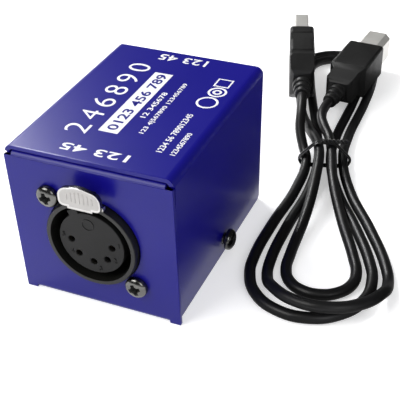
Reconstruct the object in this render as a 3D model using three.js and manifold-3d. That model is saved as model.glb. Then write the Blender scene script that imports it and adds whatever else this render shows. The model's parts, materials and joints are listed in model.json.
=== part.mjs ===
// A small box that turns a computer's serial bus into a stage-lighting line, with its cable beside it.
// Millimetres, +Z up. The origin is the middle of the tray's underside. The round connector faces -Y.
import * as THREE from "three";
import { mergeVertices } from "three/addons/utils/BufferGeometryUtils.js";
import Module from "manifold-3d";

// Sheet metal box
const boxWidth = 40;
const boxDepth = 53;
const boxHeight = 39;
const sheetThickness = 1;
const sheetGap = 0.3; // between the tray and the cover
const trayBendRadius = 1.4; // outside of each bend
const coverBendRadius = 2;
const coverCornerRadius = 1.4; // lower corners of the cover's sides
const coverFootGap = 0.1; // cover's lower edges above the floor
const coverLip = 0.6; // cover's top reaches this far over the front panel
const returnFlangeDepth = 6; // tray's flanges folded back under the cover
const topNotchWidth = 1.8; // square notches at the panels' top corners
const topNotchDepth = 2.2;
const earWidth = 2.7; // panel ears left outside the lower bend
const bendReliefDepth = 2.4; // floor plate starts this far behind the panel's face
const sideTabLength = 9;
const sideTabHeight = 8;
const sideTabRoot = 3;

// Cover screws
const coverScrewHeight = 4.4;
const coverScrewY = 1.6;
const screwHeadRadius = 2.65;
const screwHeadHeight = 1.9;
const screwRimHeight = 0.7;
const screwShankRadius = 1.3;
const screwHoleGap = 0.3;
const screwSeatGap = 0.1;
const coverScrewLength = 4.2;
const connectorScrewLength = 8;
const recessSpan = 2.9;
const recessSlotWidth = 0.8;
const recessDepth = 1.1;

// Round connector. Its height and its ring follow the height of the box.
const connectorHeightShare = 0.479487;
const ringRadiusShare = 0.282051;
const connectorHeight = boxHeight * connectorHeightShare;
const ringRadius = boxHeight * ringRadiusShare;
const ringProud = 1.7; // ring stands this far out of the panel
const ringChamfer = 0.25;
const ringWall = 1.1;
const grooveRadius = ringRadius - ringWall;
const grooveDepth = 14;
const grooveWidth = 1.9;
const insertRadius = grooveRadius - grooveWidth;
const insertRecess = 0.6; // insert's face behind the ring's face
const insertGap = 0.3;
const insertFlangeStep = 1.15;
const insertFlangeRadius = insertRadius + insertFlangeStep;
const insertFlangeThickness = 2;
const webThickness = 2.5; // housing wall between the groove and the insert's flange
const housingSideWall = 1.8;
const housingWidth = (ringRadius + housingSideWall) * 2;
const housingRoof = 0.9; // housing above the latch's room
const housingDepth = 16.7;
const housingCornerRadius = 1.5;
const screwRingGap = 0.35; // panel screws lie on a diagonal, this far from the ring
const connectorScrewOffset = (ringRadius + screwHeadRadius + screwRingGap) * Math.SQRT1_2;
const panelHoleGap = 0.3;
const keyWidth = 2.6;
const keyReach = 1.2; // key rib stands this far out of the insert
const keyAngleDegrees = 117;
const keyLength = 9;
const boardPegRadius = 1;
const boardPegLength = 2.4;
const boardPegX = 9;
const boardPegInset = 10; // peg behind the housing's front

// Connector contacts, one at each share of a turn, counted from the right
const contactCircleShare = 0.625;
const contactCircleRadius = insertRadius * contactCircleShare;
const contactTurnShares = [0, 0.875, 0.75, 0.625, 0.5];
const contactEntryRadius = 0.85;
const contactEntryDepth = 1.2;
const contactBoreRadius = 1.25;
const contactRadius = 0.95;
const contactPinBoreRadius = 0.55;
const contactPinBoreDepth = 9;
const contactStartGap = 0.3;
const contactBackOverhang = 0.4;
const tailWidth = 0.6;
const tailRun = 1.6; // tail's way back before it turns down
const tailBelowBoard = 1;
const tailHoleRadius = 0.6;

// Push latch
const latchTravel = 2;
const latchSlopeDegrees = 25;
const thumbWidth = 10.1;
const thumbAboveRing = 0.2; // thumb plate's lower edge above the ring's top
const thumbBottom = connectorHeight + ringRadius + thumbAboveRing;
const thumbTopMargin = 3.9; // under the top of the box
const thumbTop = boxHeight - thumbTopMargin;
const thumbCornerRadius = 2.4;
const thumbArchRise = 0.5;
const thumbThickness = 1.2;
const thumbProud = 3.9; // face of the thumb plate in front of the panel
const tongueWidth = 6;
const tongueDrop = 0.5;
const stemAboveGroove = 1.1;
const stemThickness = 1.3;
const stemWidth = 3.2;
const stemBottom = connectorHeight + grooveRadius + stemAboveGroove;
const stemTop = stemBottom + stemThickness;
const stemLength = 10.7;
const lugWidth = 10.6;
const lugRise = 0.3;
const lugDrop = 0.1;
const lugBottom = stemBottom + lugRise;
const lugTop = stemTop - lugDrop;
const lugThickness = 0.6;
const hookWidth = 2.4;
const hookLength = 1.8;
const hookDrop = 1.9; // hook reaches this far under the stem
const hookBottom = stemBottom - hookDrop;
const hookInset = 4.4; // hook behind the stem's front
const latchSideGap = 0.35;
const latchTopGap = 1.2; // room for the latch to rise
const housingTop = stemTop + latchTopGap + housingRoof;
const latchNotchWidth = 11.4;
const hookSlotLength = 5.4;
const springRadius = 0.9;
const springWireRadius = 0.2;
const springLength = 6;
const springCurls = 5;
const springStepsPerCurl = 8;
const springSides = 5;
const springSeatGap = 0.3;

// Circuit board
const boardTop = 5.5;
const boardThickness = 1.6;
const boardSideMargin = 5.8; // board's sides to the box's sides
const boardWidth = boxWidth - boardSideMargin * 2;
const boardEndGap = 0.6; // board's ends to the panels' inner faces
const boardSeatGap = 0.3; // housing above the board
const partSeatGap = 0.1; // small parts above the board

// Square computer socket
const socketWidth = 12;
const socketHeight = 10.8;
const socketDepth = 16.2;
const socketProud = 0.4;
const socketWall = 0.4;
const socketCutoutGap = 0.3;
const socketFillGap = 0.2;
const mouthWidth = 8.9;
const mouthHeight = 8.2;
const mouthBevel = 1.6; // two slanted upper corners
const mouthDepth = 9.4;
const tongueBlockWidth = 5.6;
const tongueBlockHeight = 3.2;
const tongueBlockInset = 1;
const stripWidth = 1;
const stripThickness = 0.3;
const stripGap = 0.1;
const stripX = 1.25;
const stripSlotGap = 0.25;
const stripFrontInset = 1;
const lowerTailRun = 0.9;
const upperTailRun = 2.3;
const socketLegWidth = 1.8;
const socketLegBelow = 2.6; // leg's length under the socket
const socketLegInset = 7;
const legHoleGap = 0.3;

// Small parts on the board: middle, body and leads
const bridgeChip = { x: 0, y: 0.6, length: 10.2, width: 5.3, height: 1.8, leads: 14, leadReach: 1.2 };
const driverChip = { x: -10.2, y: 17, length: 4.9, width: 3.9, height: 1.5, leads: 4, leadReach: 1 };
const leadWidth = 0.32;
const leadThickness = 0.2;
const leadHeight = 0.8;
const leadEmbed = 0.4;
const leadMargin = 0.9;
const crystalX = 10.4;
const crystalY = 16.4;
const crystalLength = 10.8;
const crystalWidth = 4.4;
const crystalHeight = 3.4;
const supplyCan = { x: -10.4, y: 8.4, radius: 2.5, height: 5.4 };
const inputCan = { x: 11, y: 6.6, radius: 2, height: 5.2 };
const canBaseHeight = 0.9;
const canBaseMargin = 0.3;
const canGroove = 0.25;
const fuseX = 10.6;
const fuseY = 0.8;
const fuseLength = 4.5;
const fuseWidth = 3.2;
const fuseHeight = 0.9;
const fuseCapLength = 0.8;
const fuseCapHeight = 0.15;

// Cable in its hank. Along runs from the waist to the plugs, and side is to the left of that.
const cordDiameter = 2.8;
const strandPitch = 3.4;
const layerPitch = 3.65; // a strand on top of another
const hankX = 31;
const hankY = 47;
const hankTurnDegrees = 105.5;
const foldA = { along: -49.5, side: 1.95, radius: 14.45 };
const foldB = { along: -50, side: -2, radius: 14.2 };
const foldC = { along: -47.5, side: -0.45, radius: 8.4 };
const foldRise = 3.75; // fold B passes over fold A
const foldRiseExponent = 0.6;
const arch = { along: 56, side: -2.5, radius: 8.4 }; // the inner one
const cordSides = 6;
const lowerLegShares = [0, 0.28, 0.6, 1]; // steps of a leg, of its length
const upperLegShares = [0, 0.25, 0.53, 1];
const endLegShares = [0.25, 0.5, 0.75];
const stepsPerFold = 6;
const lowerRollLength = 45; // an upper strand comes down to the floor over this length
const upperRollLength = 28;
const tieLiftLength = 20;
const startLegAlong = 19; // plug end of the first leg
const startLegSideShare = 0.5;
const endLegAlong = 20;
const endLegSide = 0.5;
const endLegBow = 9;

// Wire tie round the waist
const tieThickness = 0.9;
const tieWidth = 1.9;
const tieGap = 0.3;
const tieTailLength = 7.6;
const tieTailRadius = 0.8;
const tieTailInset = 1.2;

// Plugs. Each is drawn along +X from the end of its strain relief.
const plugCordGap = 0.3;
const pocketDepth = 3.6;
const pocketGap = 0.25;
const shellWall = 0.3;
const plugOnStrandGap = 0.3;
const reliefRings = 3;
const reliefRingShare = 0.55;
const reliefRingDrop = 0.5;
const flatPlug = {
  side: 7.4,
  turnDegrees: 3,
  reliefLength: 7,
  reliefStart: 2.1,
  reliefEnd: 3.1,
  length: 25,
  width: 15,
  thickness: 7.6,
  neckWidth: 9,
  neckThickness: 7.2,
  neckLength: 5,
  flareLength: 3.6,
  corner: 1.1,
  shellWidth: 12,
  shellHeight: 4.5,
  shellLength: 12,
  shellCorner: 0.5,
};
const bandDepth = 0.4; // two grip bands across each narrow side
const bandStartShares = [0.23, 0.62];
const bandEndShares = [0.33, 0.83];
const windowLength = 2;
const windowWidth = 2.2;
const windowInset = 5.2;
const windowSpacing = 4.6;
const flatTongueThickness = 1.85;
const flatTongueInset = 0.7;
const flatInsertGap = 0.15;
const flatBlockLength = 5;
const flatContactSides = [-3.5, -1, 1, 3.5];
const flatContactLength = 6.4;
const flatContactInset = 1.6;
const squarePlug = {
  turnDegrees: -20,
  reliefLength: 7,
  reliefStart: 2.1,
  reliefEnd: 2.9,
  length: 25,
  width: 11.6,
  thickness: 10.4,
  neckWidth: 8.4,
  neckThickness: 8,
  neckLength: 8.5,
  flareLength: 2,
  corner: 1.2,
  shellWidth: 8.45,
  shellHeight: 7.78,
  shellLength: 11.5,
  shellBevel: 1.5,
};
const squareInsertGap = 0.15;
const squareInsertInset = 0.6;
const squareCavityWidth = 6;
const squareCavityHeight = 3.6;
const squareCavityDepth = 9;

// Overruns, steps and counts
const overrun = 1;
const weldDistance = 0.0001;
const bendSegments = 3;
const roundSegments = 48;
const smallSegments = 16;
const insertSegments = 32;
const boreSegments = 8;
const domeSteps = 4;

const wasm = await Module();
wasm.setup();

const frontFace = -boxDepth / 2;
const rearFace = boxDepth / 2;
const panelBack = frontFace + sheetThickness;
const boardBottom = boardTop - boardThickness;
const cordRadius = cordDiameter / 2;

// Shared shape tools

function solidOf(geometry) {
  const bare = geometry.clone();
  bare.deleteAttribute("normal");
  bare.deleteAttribute("uv");
  const merged = mergeVertices(bare, weldDistance);
  const mesh = new wasm.Mesh({
    numProp: 3,
    vertProperties: merged.attributes.position.array,
    triVerts: new Uint32Array(merged.index.array),
  });
  return new wasm.Manifold(mesh);
}

function geometryOf(solid) {
  const mesh = solid.getMesh();
  const geometry = new THREE.BufferGeometry();
  geometry.setAttribute("position", new THREE.BufferAttribute(mesh.vertProperties, 3));
  geometry.setIndex(new THREE.BufferAttribute(mesh.triVerts, 1));
  return geometry.toNonIndexed();
}

function joined(solids) {
  return solids.reduce((whole, solid) => whole.add(solid));
}

function block(x0, x1, y0, y1, z0, z1) {
  const geometry = new THREE.BoxGeometry(x1 - x0, y1 - y0, z1 - z0);
  geometry.translate((x0 + x1) / 2, (y0 + y1) / 2, (z0 + z1) / 2);
  return solidOf(geometry);
}

function rodY(radius, x, z, y0, y1, segments = smallSegments) {
  const geometry = new THREE.CylinderGeometry(radius, radius, y1 - y0, segments);
  geometry.translate(x, (y0 + y1) / 2, z);
  return solidOf(geometry);
}

function rodX(radius, y, z, x0, x1, segments = smallSegments) {
  const geometry = new THREE.CylinderGeometry(radius, radius, x1 - x0, segments);
  geometry.rotateZ(Math.PI / 2);
  geometry.translate((x0 + x1) / 2, y, z);
  return solidOf(geometry);
}

function rodZ(radius, x, y, z0, z1, segments = smallSegments) {
  const geometry = new THREE.CylinderGeometry(radius, radius, z1 - z0, segments);
  geometry.rotateX(Math.PI / 2);
  geometry.translate(x, y, (z0 + z1) / 2);
  return solidOf(geometry);
}

function extruded(shape, depth, segments) {
  return new THREE.ExtrudeGeometry(shape, { depth, bevelEnabled: false, curveSegments: segments });
}

// A shape drawn in Y and Z, extruded along X
function prismX(shape, x0, x1, segments = bendSegments) {
  const geometry = extruded(shape, x1 - x0, segments);
  const across = new THREE.Vector3(0, 1, 0);
  const up = new THREE.Vector3(0, 0, 1);
  const along = new THREE.Vector3(1, 0, 0);
  geometry.applyMatrix4(new THREE.Matrix4().makeBasis(across, up, along));
  geometry.translate(x0, 0, 0);
  return solidOf(geometry);
}

// A shape drawn in X and Z, extruded along Y
function prismY(shape, y0, y1, segments = bendSegments) {
  const geometry = extruded(shape, y1 - y0, segments);
  geometry.rotateX(Math.PI / 2);
  geometry.translate(0, y1, 0);
  return solidOf(geometry);
}

function prismZ(shape, z0, z1, segments = bendSegments) {
  const geometry = extruded(shape, z1 - z0, segments);
  geometry.translate(0, 0, z0);
  return solidOf(geometry);
}

function lathe(points, segments = smallSegments) {
  return solidOf(new THREE.LatheGeometry(points.map(([r, y]) => new THREE.Vector2(r, y)), segments));
}

function polygon(points) {
  return new THREE.Shape(points.map(([a, b]) => new THREE.Vector2(a, b)));
}

function roundedRectangle(a0, a1, b0, b1, radius) {
  const shape = new THREE.Shape();
  shape.absarc(a1 - radius, b0 + radius, radius, -Math.PI / 2, 0, false);
  shape.absarc(a1 - radius, b1 - radius, radius, 0, Math.PI / 2, false);
  shape.absarc(a0 + radius, b1 - radius, radius, Math.PI / 2, Math.PI, false);
  shape.absarc(a0 + radius, b0 + radius, radius, Math.PI, Math.PI * 1.5, false);
  return shape;
}

// Outline of a folded sheet. The corners are the outer ones, and every bend turns left.
function foldedSheet(corners, radius, thickness) {
  const points = corners.map(([a, b]) => new THREE.Vector2(a, b));
  const runs = points.slice(1).map((point, i) => point.clone().sub(points[i]).normalize());
  const inward = (run) => new THREE.Vector2(-run.y, run.x);
  const bends = runs.slice(1).map((next, i) => {
    const before = runs[i];
    const centre = points[i + 1].clone().addScaledVector(before, -radius).addScaledVector(next, radius);
    return { centre, from: Math.atan2(-next.y, -next.x), to: Math.atan2(before.y, before.x) };
  });
  const last = points[points.length - 1];
  const lastInside = last.clone().addScaledVector(inward(runs[runs.length - 1]), thickness);
  const firstInside = points[0].clone().addScaledVector(inward(runs[0]), thickness);
  const shape = new THREE.Shape();
  shape.moveTo(points[0].x, points[0].y);
  for (const { centre, from, to } of bends) shape.absarc(centre.x, centre.y, radius, from, to, false);
  shape.lineTo(last.x, last.y);
  shape.lineTo(lastInside.x, lastInside.y);
  for (const { centre, from, to } of [...bends].reverse()) {
    shape.absarc(centre.x, centre.y, radius - thickness, to, from, true);
  }
  shape.lineTo(firstInside.x, firstInside.y);
  shape.closePath();
  return shape;
}

function material(color, roughness, metalness) {
  return new THREE.MeshStandardMaterial({ color, roughness, metalness });
}

function addPiece(group, name, solid, finish) {
  const mesh = new THREE.Mesh(geometryOf(solid), finish);
  mesh.name = name;
  group.add(mesh);
  return mesh;
}

const bluePaint = material(0x2a2a86, 0.42, 0.1);
const blackPlastic = material(0x1c1c1c, 0.5, 0);
const greyPlastic = material(0x353535, 0.55, 0);
const satinNickel = material(0xd9d6cf, 0.35, 0.9);
const blackNickel = material(0x55534f, 0.3, 0.9);
const springSteel = material(0x9a9a98, 0.35, 0.9);
const contactGold = material(0xc9a24a, 0.3, 0.9);
const boardGreen = material(0x1f5a33, 0.5, 0);
const chipBlack = material(0x151515, 0.6, 0);
const canAluminium = material(0xb8b8b8, 0.35, 0.9);
const fuseGreen = material(0x4f7a4a, 0.5, 0);
const cordBlack = material(0x121212, 0.55, 0);
const socketWhite = material(0xdedbd2, 0.5, 0);
const plugSteel = material(0xc9c7c2, 0.25, 0.95);

// Sheet metal box

const coverInnerTop = boxHeight - sheetThickness;
const flangeTop = coverInnerTop - sheetGap;
const floorHalf = boxWidth / 2 - earWidth;
const floorEdge = boxWidth / 2 - sheetThickness - sheetGap;
const panelCornerTop = boxHeight - topNotchDepth;
const flangeHalf = boxWidth / 2 - topNotchWidth;
const slotHalf = stemWidth / 2 + latchSideGap;
const latchRise = latchTravel * Math.sin(THREE.MathUtils.degToRad(latchSlopeDegrees));
const slotTop = stemTop + latchTopGap;

const socket = {
  x0: -socketWidth / 2,
  x1: socketWidth / 2,
  y0: rearFace + socketProud - socketDepth,
  y1: rearFace + socketProud,
  z0: boardTop + partSeatGap,
  z1: boardTop + partSeatGap + socketHeight,
};
const socketMiddle = (socket.z0 + socket.z1) / 2;

function endPanel(half, y0, y1) {
  const plate = block(-half, half, y0, y1, 0, panelCornerTop);
  return plate.subtract(block(-floorHalf, floorHalf, y0 - overrun, y1 + overrun, -overrun, trayBendRadius));
}

function sideTab(side) {
  const corners = [
    [floorEdge - sideTabRoot, 0],
    [floorEdge, 0],
    [floorEdge, sideTabHeight],
  ];
  const outline = side > 0 ? corners : corners.map(([x, z]) => [-x, z]).reverse();
  const sheet = foldedSheet(outline, trayBendRadius, sheetThickness);
  return prismY(sheet, coverScrewY - sideTabLength / 2, coverScrewY + sideTabLength / 2);
}

function makeBaseTray() {
  const tubeCorners = [
    [frontFace + returnFlangeDepth, flangeTop],
    [frontFace, flangeTop],
    [frontFace, 0],
    [rearFace, 0],
    [rearFace, flangeTop],
    [rearFace - returnFlangeDepth, flangeTop],
  ];
  const body = prismX(foldedSheet(tubeCorners, trayBendRadius, sheetThickness), -floorHalf, floorHalf);
  const foldBottom = panelCornerTop - trayBendRadius * 2;
  const frontCorners = [...tubeCorners.slice(0, 2), [frontFace, foldBottom]];
  const rearCorners = [[rearFace, foldBottom], ...tubeCorners.slice(4)];
  const frontFold = foldedSheet(frontCorners, trayBendRadius, sheetThickness);
  const rearFold = foldedSheet(rearCorners, trayBendRadius, sheetThickness);
  const tabHalf = sideTabLength / 2;
  const floorPlate = block(
    -floorEdge,
    floorEdge,
    frontFace + bendReliefDepth,
    rearFace - bendReliefDepth,
    0,
    sheetThickness,
  );
  let tray = floorPlate;
  for (const side of [-1, 1]) {
    const edges = [side * (floorEdge - sideTabRoot / 2), side * (floorEdge + overrun)].sort((a, b) => a - b);
    tray = tray.subtract(
      block(...edges, coverScrewY - tabHalf, coverScrewY + tabHalf, -overrun, sheetThickness + overrun),
    );
  }
  tray = joined([
    tray,
    body,
    endPanel(boxWidth / 2, frontFace, panelBack),
    endPanel(floorEdge, rearFace - sheetThickness, rearFace),
    prismX(frontFold, -flangeHalf, flangeHalf),
    prismX(rearFold, -flangeHalf, flangeHalf),
    sideTab(-1),
    sideTab(1),
  ]);
  const cutFront = frontFace - overrun;
  const cutBack = panelBack + overrun;
  tray = tray.subtract(rodY(ringRadius + panelHoleGap, 0, connectorHeight, cutFront, cutBack, roundSegments));
  tray = tray.subtract(block(-slotHalf, slotHalf, cutFront, cutBack, connectorHeight, slotTop));
  for (const side of [-1, 1]) {
    const x = side * connectorScrewOffset;
    const z = connectorHeight - side * connectorScrewOffset;
    tray = tray.subtract(rodY(screwShankRadius + screwHoleGap, x, z, cutFront, cutBack));
  }
  tray = tray.subtract(
    block(
      socket.x0 - socketCutoutGap,
      socket.x1 + socketCutoutGap,
      rearFace - sheetThickness - overrun,
      rearFace + overrun,
      socket.z0 - socketCutoutGap,
      socket.z1 + socketCutoutGap,
    ),
  );
  const tapHole = rodX(
    screwShankRadius + screwHoleGap,
    coverScrewY,
    coverScrewHeight,
    -boxWidth / 2,
    boxWidth / 2,
  );
  return tray.subtract(tapHole);
}

function makeTopCover() {
  const half = boxWidth / 2;
  const corners = [
    [half, coverFootGap],
    [half, boxHeight],
    [-half, boxHeight],
    [-half, coverFootGap],
  ];
  // The sides end behind the wide front panel and the top reaches over it. At the rear they pass the panel.
  const front = panelBack + sheetGap;
  const lipFront = front - coverLip;
  const lipBottom = panelCornerTop + sheetGap;
  const rear = rearFace;
  let cover = prismY(foldedSheet(corners, coverBendRadius, sheetThickness), lipFront, rear);
  const sideView = new THREE.Shape();
  sideView.moveTo(rear, boxHeight + overrun);
  sideView.lineTo(lipFront - overrun, boxHeight + overrun);
  sideView.lineTo(lipFront - overrun, lipBottom);
  sideView.lineTo(front, lipBottom);
  const arcHeight = coverFootGap + coverCornerRadius;
  sideView.absarc(front + coverCornerRadius, arcHeight, coverCornerRadius, Math.PI, Math.PI * 1.5, false);
  sideView.absarc(rear - coverCornerRadius, arcHeight, coverCornerRadius, Math.PI * 1.5, Math.PI * 2, false);
  cover = cover.intersect(prismX(sideView, -half - overrun, half + overrun));
  const hole = rodX(
    screwShankRadius + screwHoleGap,
    coverScrewY,
    coverScrewHeight,
    -half - overrun,
    half + overrun,
  );
  return cover.subtract(hole);
}

// A pan-head screw along +Y, its head's seat at the origin
function panScrew(length) {
  const profile = [
    [0, length],
    [screwShankRadius, length - screwShankRadius / 2],
    [screwShankRadius, 0],
    [screwHeadRadius, 0],
    [screwHeadRadius, -screwRimHeight],
  ];
  const domeHeight = screwHeadHeight - screwRimHeight;
  for (let step = 1; step <= domeSteps; step++) {
    const angle = (step / domeSteps) * (Math.PI / 2);
    const radius = step < domeSteps ? screwHeadRadius * Math.cos(angle) : 0;
    profile.push([radius, -screwRimHeight - domeHeight * Math.sin(angle)]);
  }
  const screw = lathe(profile.reverse(), smallSegments * 2);
  const reach = recessSpan / 2;
  const slot = recessSlotWidth / 2;
  const bottom = recessDepth - screwHeadHeight;
  const cross = joined([
    block(-reach, reach, -screwHeadHeight - overrun, bottom, -slot, slot),
    block(-slot, slot, -screwHeadHeight - overrun, bottom, -reach, reach),
  ]);
  return screw.subtract(cross);
}

// Round connector

const ringFront = frontFace - ringProud;
const insertFront = ringFront + insertRecess;
const housingFront = panelBack + sheetGap;
const housingBack = housingFront + housingDepth;
const grooveBack = ringFront + grooveDepth;
const webBack = grooveBack + webThickness;
const insertFlangeFront = webBack + insertGap;
const insertBack = insertFlangeFront + insertFlangeThickness;
const housingBottom = boardTop + boardSeatGap;
const pegY = housingFront + boardPegInset;
const stemFront = frontFace - thumbProud + thumbThickness;
const stemBack = stemFront + stemLength;
const springFront = stemBack + springSeatGap;
const springBack = springFront + springLength;
const contactBack = insertBack + contactBackOverhang;
const tailY = contactBack + tailRun;

function contactPlace(index) {
  const angle = contactTurnShares[index] * Math.PI * 2;
  return [contactCircleRadius * Math.cos(angle), connectorHeight + contactCircleRadius * Math.sin(angle)];
}

function makeConnectorHousing() {
  const half = housingWidth / 2;
  const outline = roundedRectangle(-half, half, housingBottom, housingTop, housingCornerRadius);
  const profile = [
    [0, housingFront + overrun],
    [ringRadius, housingFront + overrun],
    [ringRadius, ringFront + ringChamfer],
    [ringRadius - ringChamfer, ringFront],
    [0, ringFront],
  ];
  const ring = lathe(profile.reverse(), roundSegments).translate([0, 0, connectorHeight]);
  let housing = joined([prismY(outline, housingFront, housingBack), ring]);
  const z = connectorHeight;
  const cutFront = ringFront - overrun;
  const cutBack = housingBack + overrun;
  const seatRadius = insertRadius + insertGap;
  housing = housing.subtract(rodY(grooveRadius, 0, z, cutFront, grooveBack, roundSegments));
  housing = housing.subtract(rodY(seatRadius, 0, z, grooveBack - overrun, cutBack, roundSegments));
  housing = housing.subtract(rodY(insertFlangeRadius + insertGap, 0, z, webBack, cutBack, roundSegments));
  const channelBack = springBack + springSeatGap;
  const channelBottom = stemBottom - latchSideGap;
  const channel = block(-slotHalf, slotHalf, cutFront, channelBack, channelBottom, slotTop);
  const notchHalf = latchNotchWidth / 2;
  const notchBottom = thumbBottom - tongueDrop - latchSideGap;
  const notch = block(-notchHalf, notchHalf, cutFront, frontFace, notchBottom, slotTop);
  const hookFront = stemFront + hookInset;
  const hookHalf = hookWidth / 2 + latchSideGap;
  const hookSlotBack = hookFront + hookSlotLength;
  const hookSlot = block(-hookHalf, hookHalf, hookFront - latchSideGap, hookSlotBack, z, stemTop);
  housing = housing.subtract(channel).subtract(notch).subtract(hookSlot);
  for (const side of [-1, 1]) {
    const pilot = rodY(
      screwShankRadius + screwHoleGap,
      side * connectorScrewOffset,
      z - side * connectorScrewOffset,
      housingFront - overrun,
      frontFace + connectorScrewLength + screwHoleGap,
    );
    housing = housing.subtract(pilot);
    const pegBottom = housingBottom - boardPegLength;
    housing = housing.add(rodZ(boardPegRadius, side * boardPegX, pegY, pegBottom, housingBottom + overrun));
  }
  return housing;
}

function makeConnectorInsert() {
  const profile = [
    [0, insertBack],
    [insertFlangeRadius, insertBack],
    [insertFlangeRadius, insertFlangeFront],
    [insertRadius, insertFlangeFront],
    [insertRadius, insertFront],
    [0, insertFront],
  ];
  let insert = lathe(profile.reverse(), insertSegments);
  const half = keyWidth / 2;
  const key = block(-half, half, insertFront, insertFront + keyLength, 0, insertRadius + keyReach);
  insert = insert.add(key.rotate([0, 90 - keyAngleDegrees, 0])).translate([0, 0, connectorHeight]);
  contactTurnShares.forEach((share, index) => {
    const [x, z] = contactPlace(index);
    const back = insertBack + overrun;
    insert = insert.subtract(rodY(contactEntryRadius, x, z, insertFront - overrun, back, boreSegments));
    const boreFront = insertFront + contactEntryDepth;
    insert = insert.subtract(rodY(contactBoreRadius, x, z, boreFront, back, boreSegments));
  });
  return insert;
}

function makeConnectorContact(index) {
  const [x, z] = contactPlace(index);
  const front = insertFront + contactEntryDepth + contactStartGap;
  const profile = [
    [0, contactBack],
    [contactRadius, contactBack],
    [contactRadius, front],
    [contactPinBoreRadius, front],
    [contactPinBoreRadius, front + contactPinBoreDepth],
    [0, front + contactPinBoreDepth],
  ];
  const sleeve = lathe(profile.reverse()).translate([x, 0, z]);
  const half = tailWidth / 2;
  const back = block(x - half, x + half, contactBack - tailWidth, tailY + half, z - half, z + half);
  const down = block(x - half, x + half, tailY - half, tailY + half, boardBottom - tailBelowBoard, z + half);
  return joined([sleeve, back, down]);
}

function makePushLatch() {
  const half = thumbWidth / 2;
  const r = thumbCornerRadius;
  const shoulder = thumbTop - thumbArchRise - r;
  const outline = new THREE.Shape();
  outline.moveTo(-tongueWidth / 2, thumbBottom - tongueDrop);
  outline.lineTo(tongueWidth / 2, thumbBottom - tongueDrop);
  outline.lineTo(tongueWidth / 2, thumbBottom);
  outline.absarc(half - r / 2, thumbBottom + r / 2, r / 2, -Math.PI / 2, 0, false);
  outline.absarc(half - r, shoulder, r, 0, Math.PI / 2, false);
  outline.quadraticCurveTo(0, thumbTop + thumbArchRise, r - half, shoulder + r);
  outline.absarc(r - half, shoulder, r, Math.PI / 2, Math.PI, false);
  outline.absarc(r / 2 - half, thumbBottom + r / 2, r / 2, Math.PI, Math.PI * 1.5, false);
  outline.lineTo(-tongueWidth / 2, thumbBottom);
  const plate = prismY(outline, stemFront - thumbThickness, stemFront);
  const stemHalf = stemWidth / 2;
  const hookHalf = hookWidth / 2;
  const hookFront = stemFront + hookInset;
  const rooted = stemFront - thumbThickness / 2;
  return joined([
    plate,
    block(-lugWidth / 2, lugWidth / 2, rooted, stemFront + lugThickness, lugBottom, lugTop),
    block(-stemHalf, stemHalf, rooted, stemBack, stemBottom, stemTop),
    block(-hookHalf, hookHalf, hookFront, hookFront + hookLength, hookBottom, stemTop),
  ]);
}

// A round wire or cord along a list of rings, each with its middle and two square directions
function tubeAlong(rings, radius, sides) {
  const positions = [];
  for (const { middle, across, over } of rings) {
    for (let side = 0; side < sides; side++) {
      const angle = ((side + 0.5) / sides) * Math.PI * 2;
      const point = middle.clone().addScaledVector(across, radius * Math.cos(angle));
      point.addScaledVector(over, radius * Math.sin(angle));
      positions.push(point.x, point.y, point.z);
    }
  }
  const faces = [];
  for (let ring = 0; ring < rings.length - 1; ring++) {
    for (let side = 0; side < sides; side++) {
      const a = ring * sides + side;
      const b = ring * sides + ((side + 1) % sides);
      faces.push(a, b, b + sides, a, b + sides, a + sides);
    }
  }
  const lastRing = (rings.length - 1) * sides;
  for (let side = 1; side < sides - 1; side++) {
    faces.push(0, side + 1, side);
    faces.push(lastRing, lastRing + side, lastRing + side + 1);
  }
  const geometry = new THREE.BufferGeometry();
  geometry.setAttribute("position", new THREE.Float32BufferAttribute(positions, 3));
  geometry.setIndex(faces);
  const solid = solidOf(geometry);
  return solid.volume() > 0 ? solid : solidOf(geometry.setIndex(faces.reverse()));
}

function makeLatchSpring() {
  const steps = springStepsPerCurl * springCurls;
  const height = (stemBottom - latchSideGap + slotTop) / 2; // middle of the channel
  const rings = [];
  for (let step = 0; step <= steps; step++) {
    const angle = (step / springStepsPerCurl) * Math.PI * 2;
    const outward = new THREE.Vector3(Math.cos(angle), 0, Math.sin(angle));
    const run = springLength - springWireRadius * 2;
    const middle = outward.clone().multiplyScalar(springRadius);
    middle.add(new THREE.Vector3(0, springFront + springWireRadius + (run * step) / steps, height));
    rings.push({ middle, across: outward, over: new THREE.Vector3(0, 1, 0) });
  }
  return tubeAlong(rings, springWireRadius, springSides);
}

// Board and what stands on it

function stripTailY(upper) {
  return socket.y0 - (upper ? upperTailRun : lowerTailRun);
}

function makeCircuitBoard() {
  const half = boardWidth / 2;
  const end = boxDepth / 2 - sheetThickness - boardEndGap;
  const cut = [boardBottom - overrun, boardTop + overrun];
  const tailHole = (x, y) => rodZ(tailHoleRadius, x, y, ...cut, boreSegments);
  let board = block(-half, half, -end, end, boardBottom, boardTop);
  contactTurnShares.forEach((share, index) => {
    board = board.subtract(tailHole(contactPlace(index)[0], tailY));
  });
  for (const side of [-1, 1]) {
    board = board.subtract(rodZ(boardPegRadius + boardSeatGap, side * boardPegX, pegY, ...cut));
    for (const upper of [true, false]) {
      board = board.subtract(tailHole(side * stripX, stripTailY(upper)));
    }
    const legX = side * (socketWidth / 2 - socketWall / 2);
    const legY = socket.y1 - socketLegInset;
    const reachX = socketWall / 2 + legHoleGap;
    const reachY = socketLegWidth / 2 + legHoleGap;
    board = board.subtract(block(legX - reachX, legX + reachX, legY - reachY, legY + reachY, ...cut));
  }
  return board;
}

// Mouth of the square socket or plug: a square with two slanted upper corners, round the socket's middle
function squareMouth(width, height, bevel, middle) {
  const a = width / 2;
  const b = height / 2;
  return polygon([
    [-a, middle - b],
    [a, middle - b],
    [a, middle + b - bevel],
    [a - bevel, middle + b],
    [bevel - a, middle + b],
    [-a, middle + b - bevel],
  ]);
}

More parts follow.
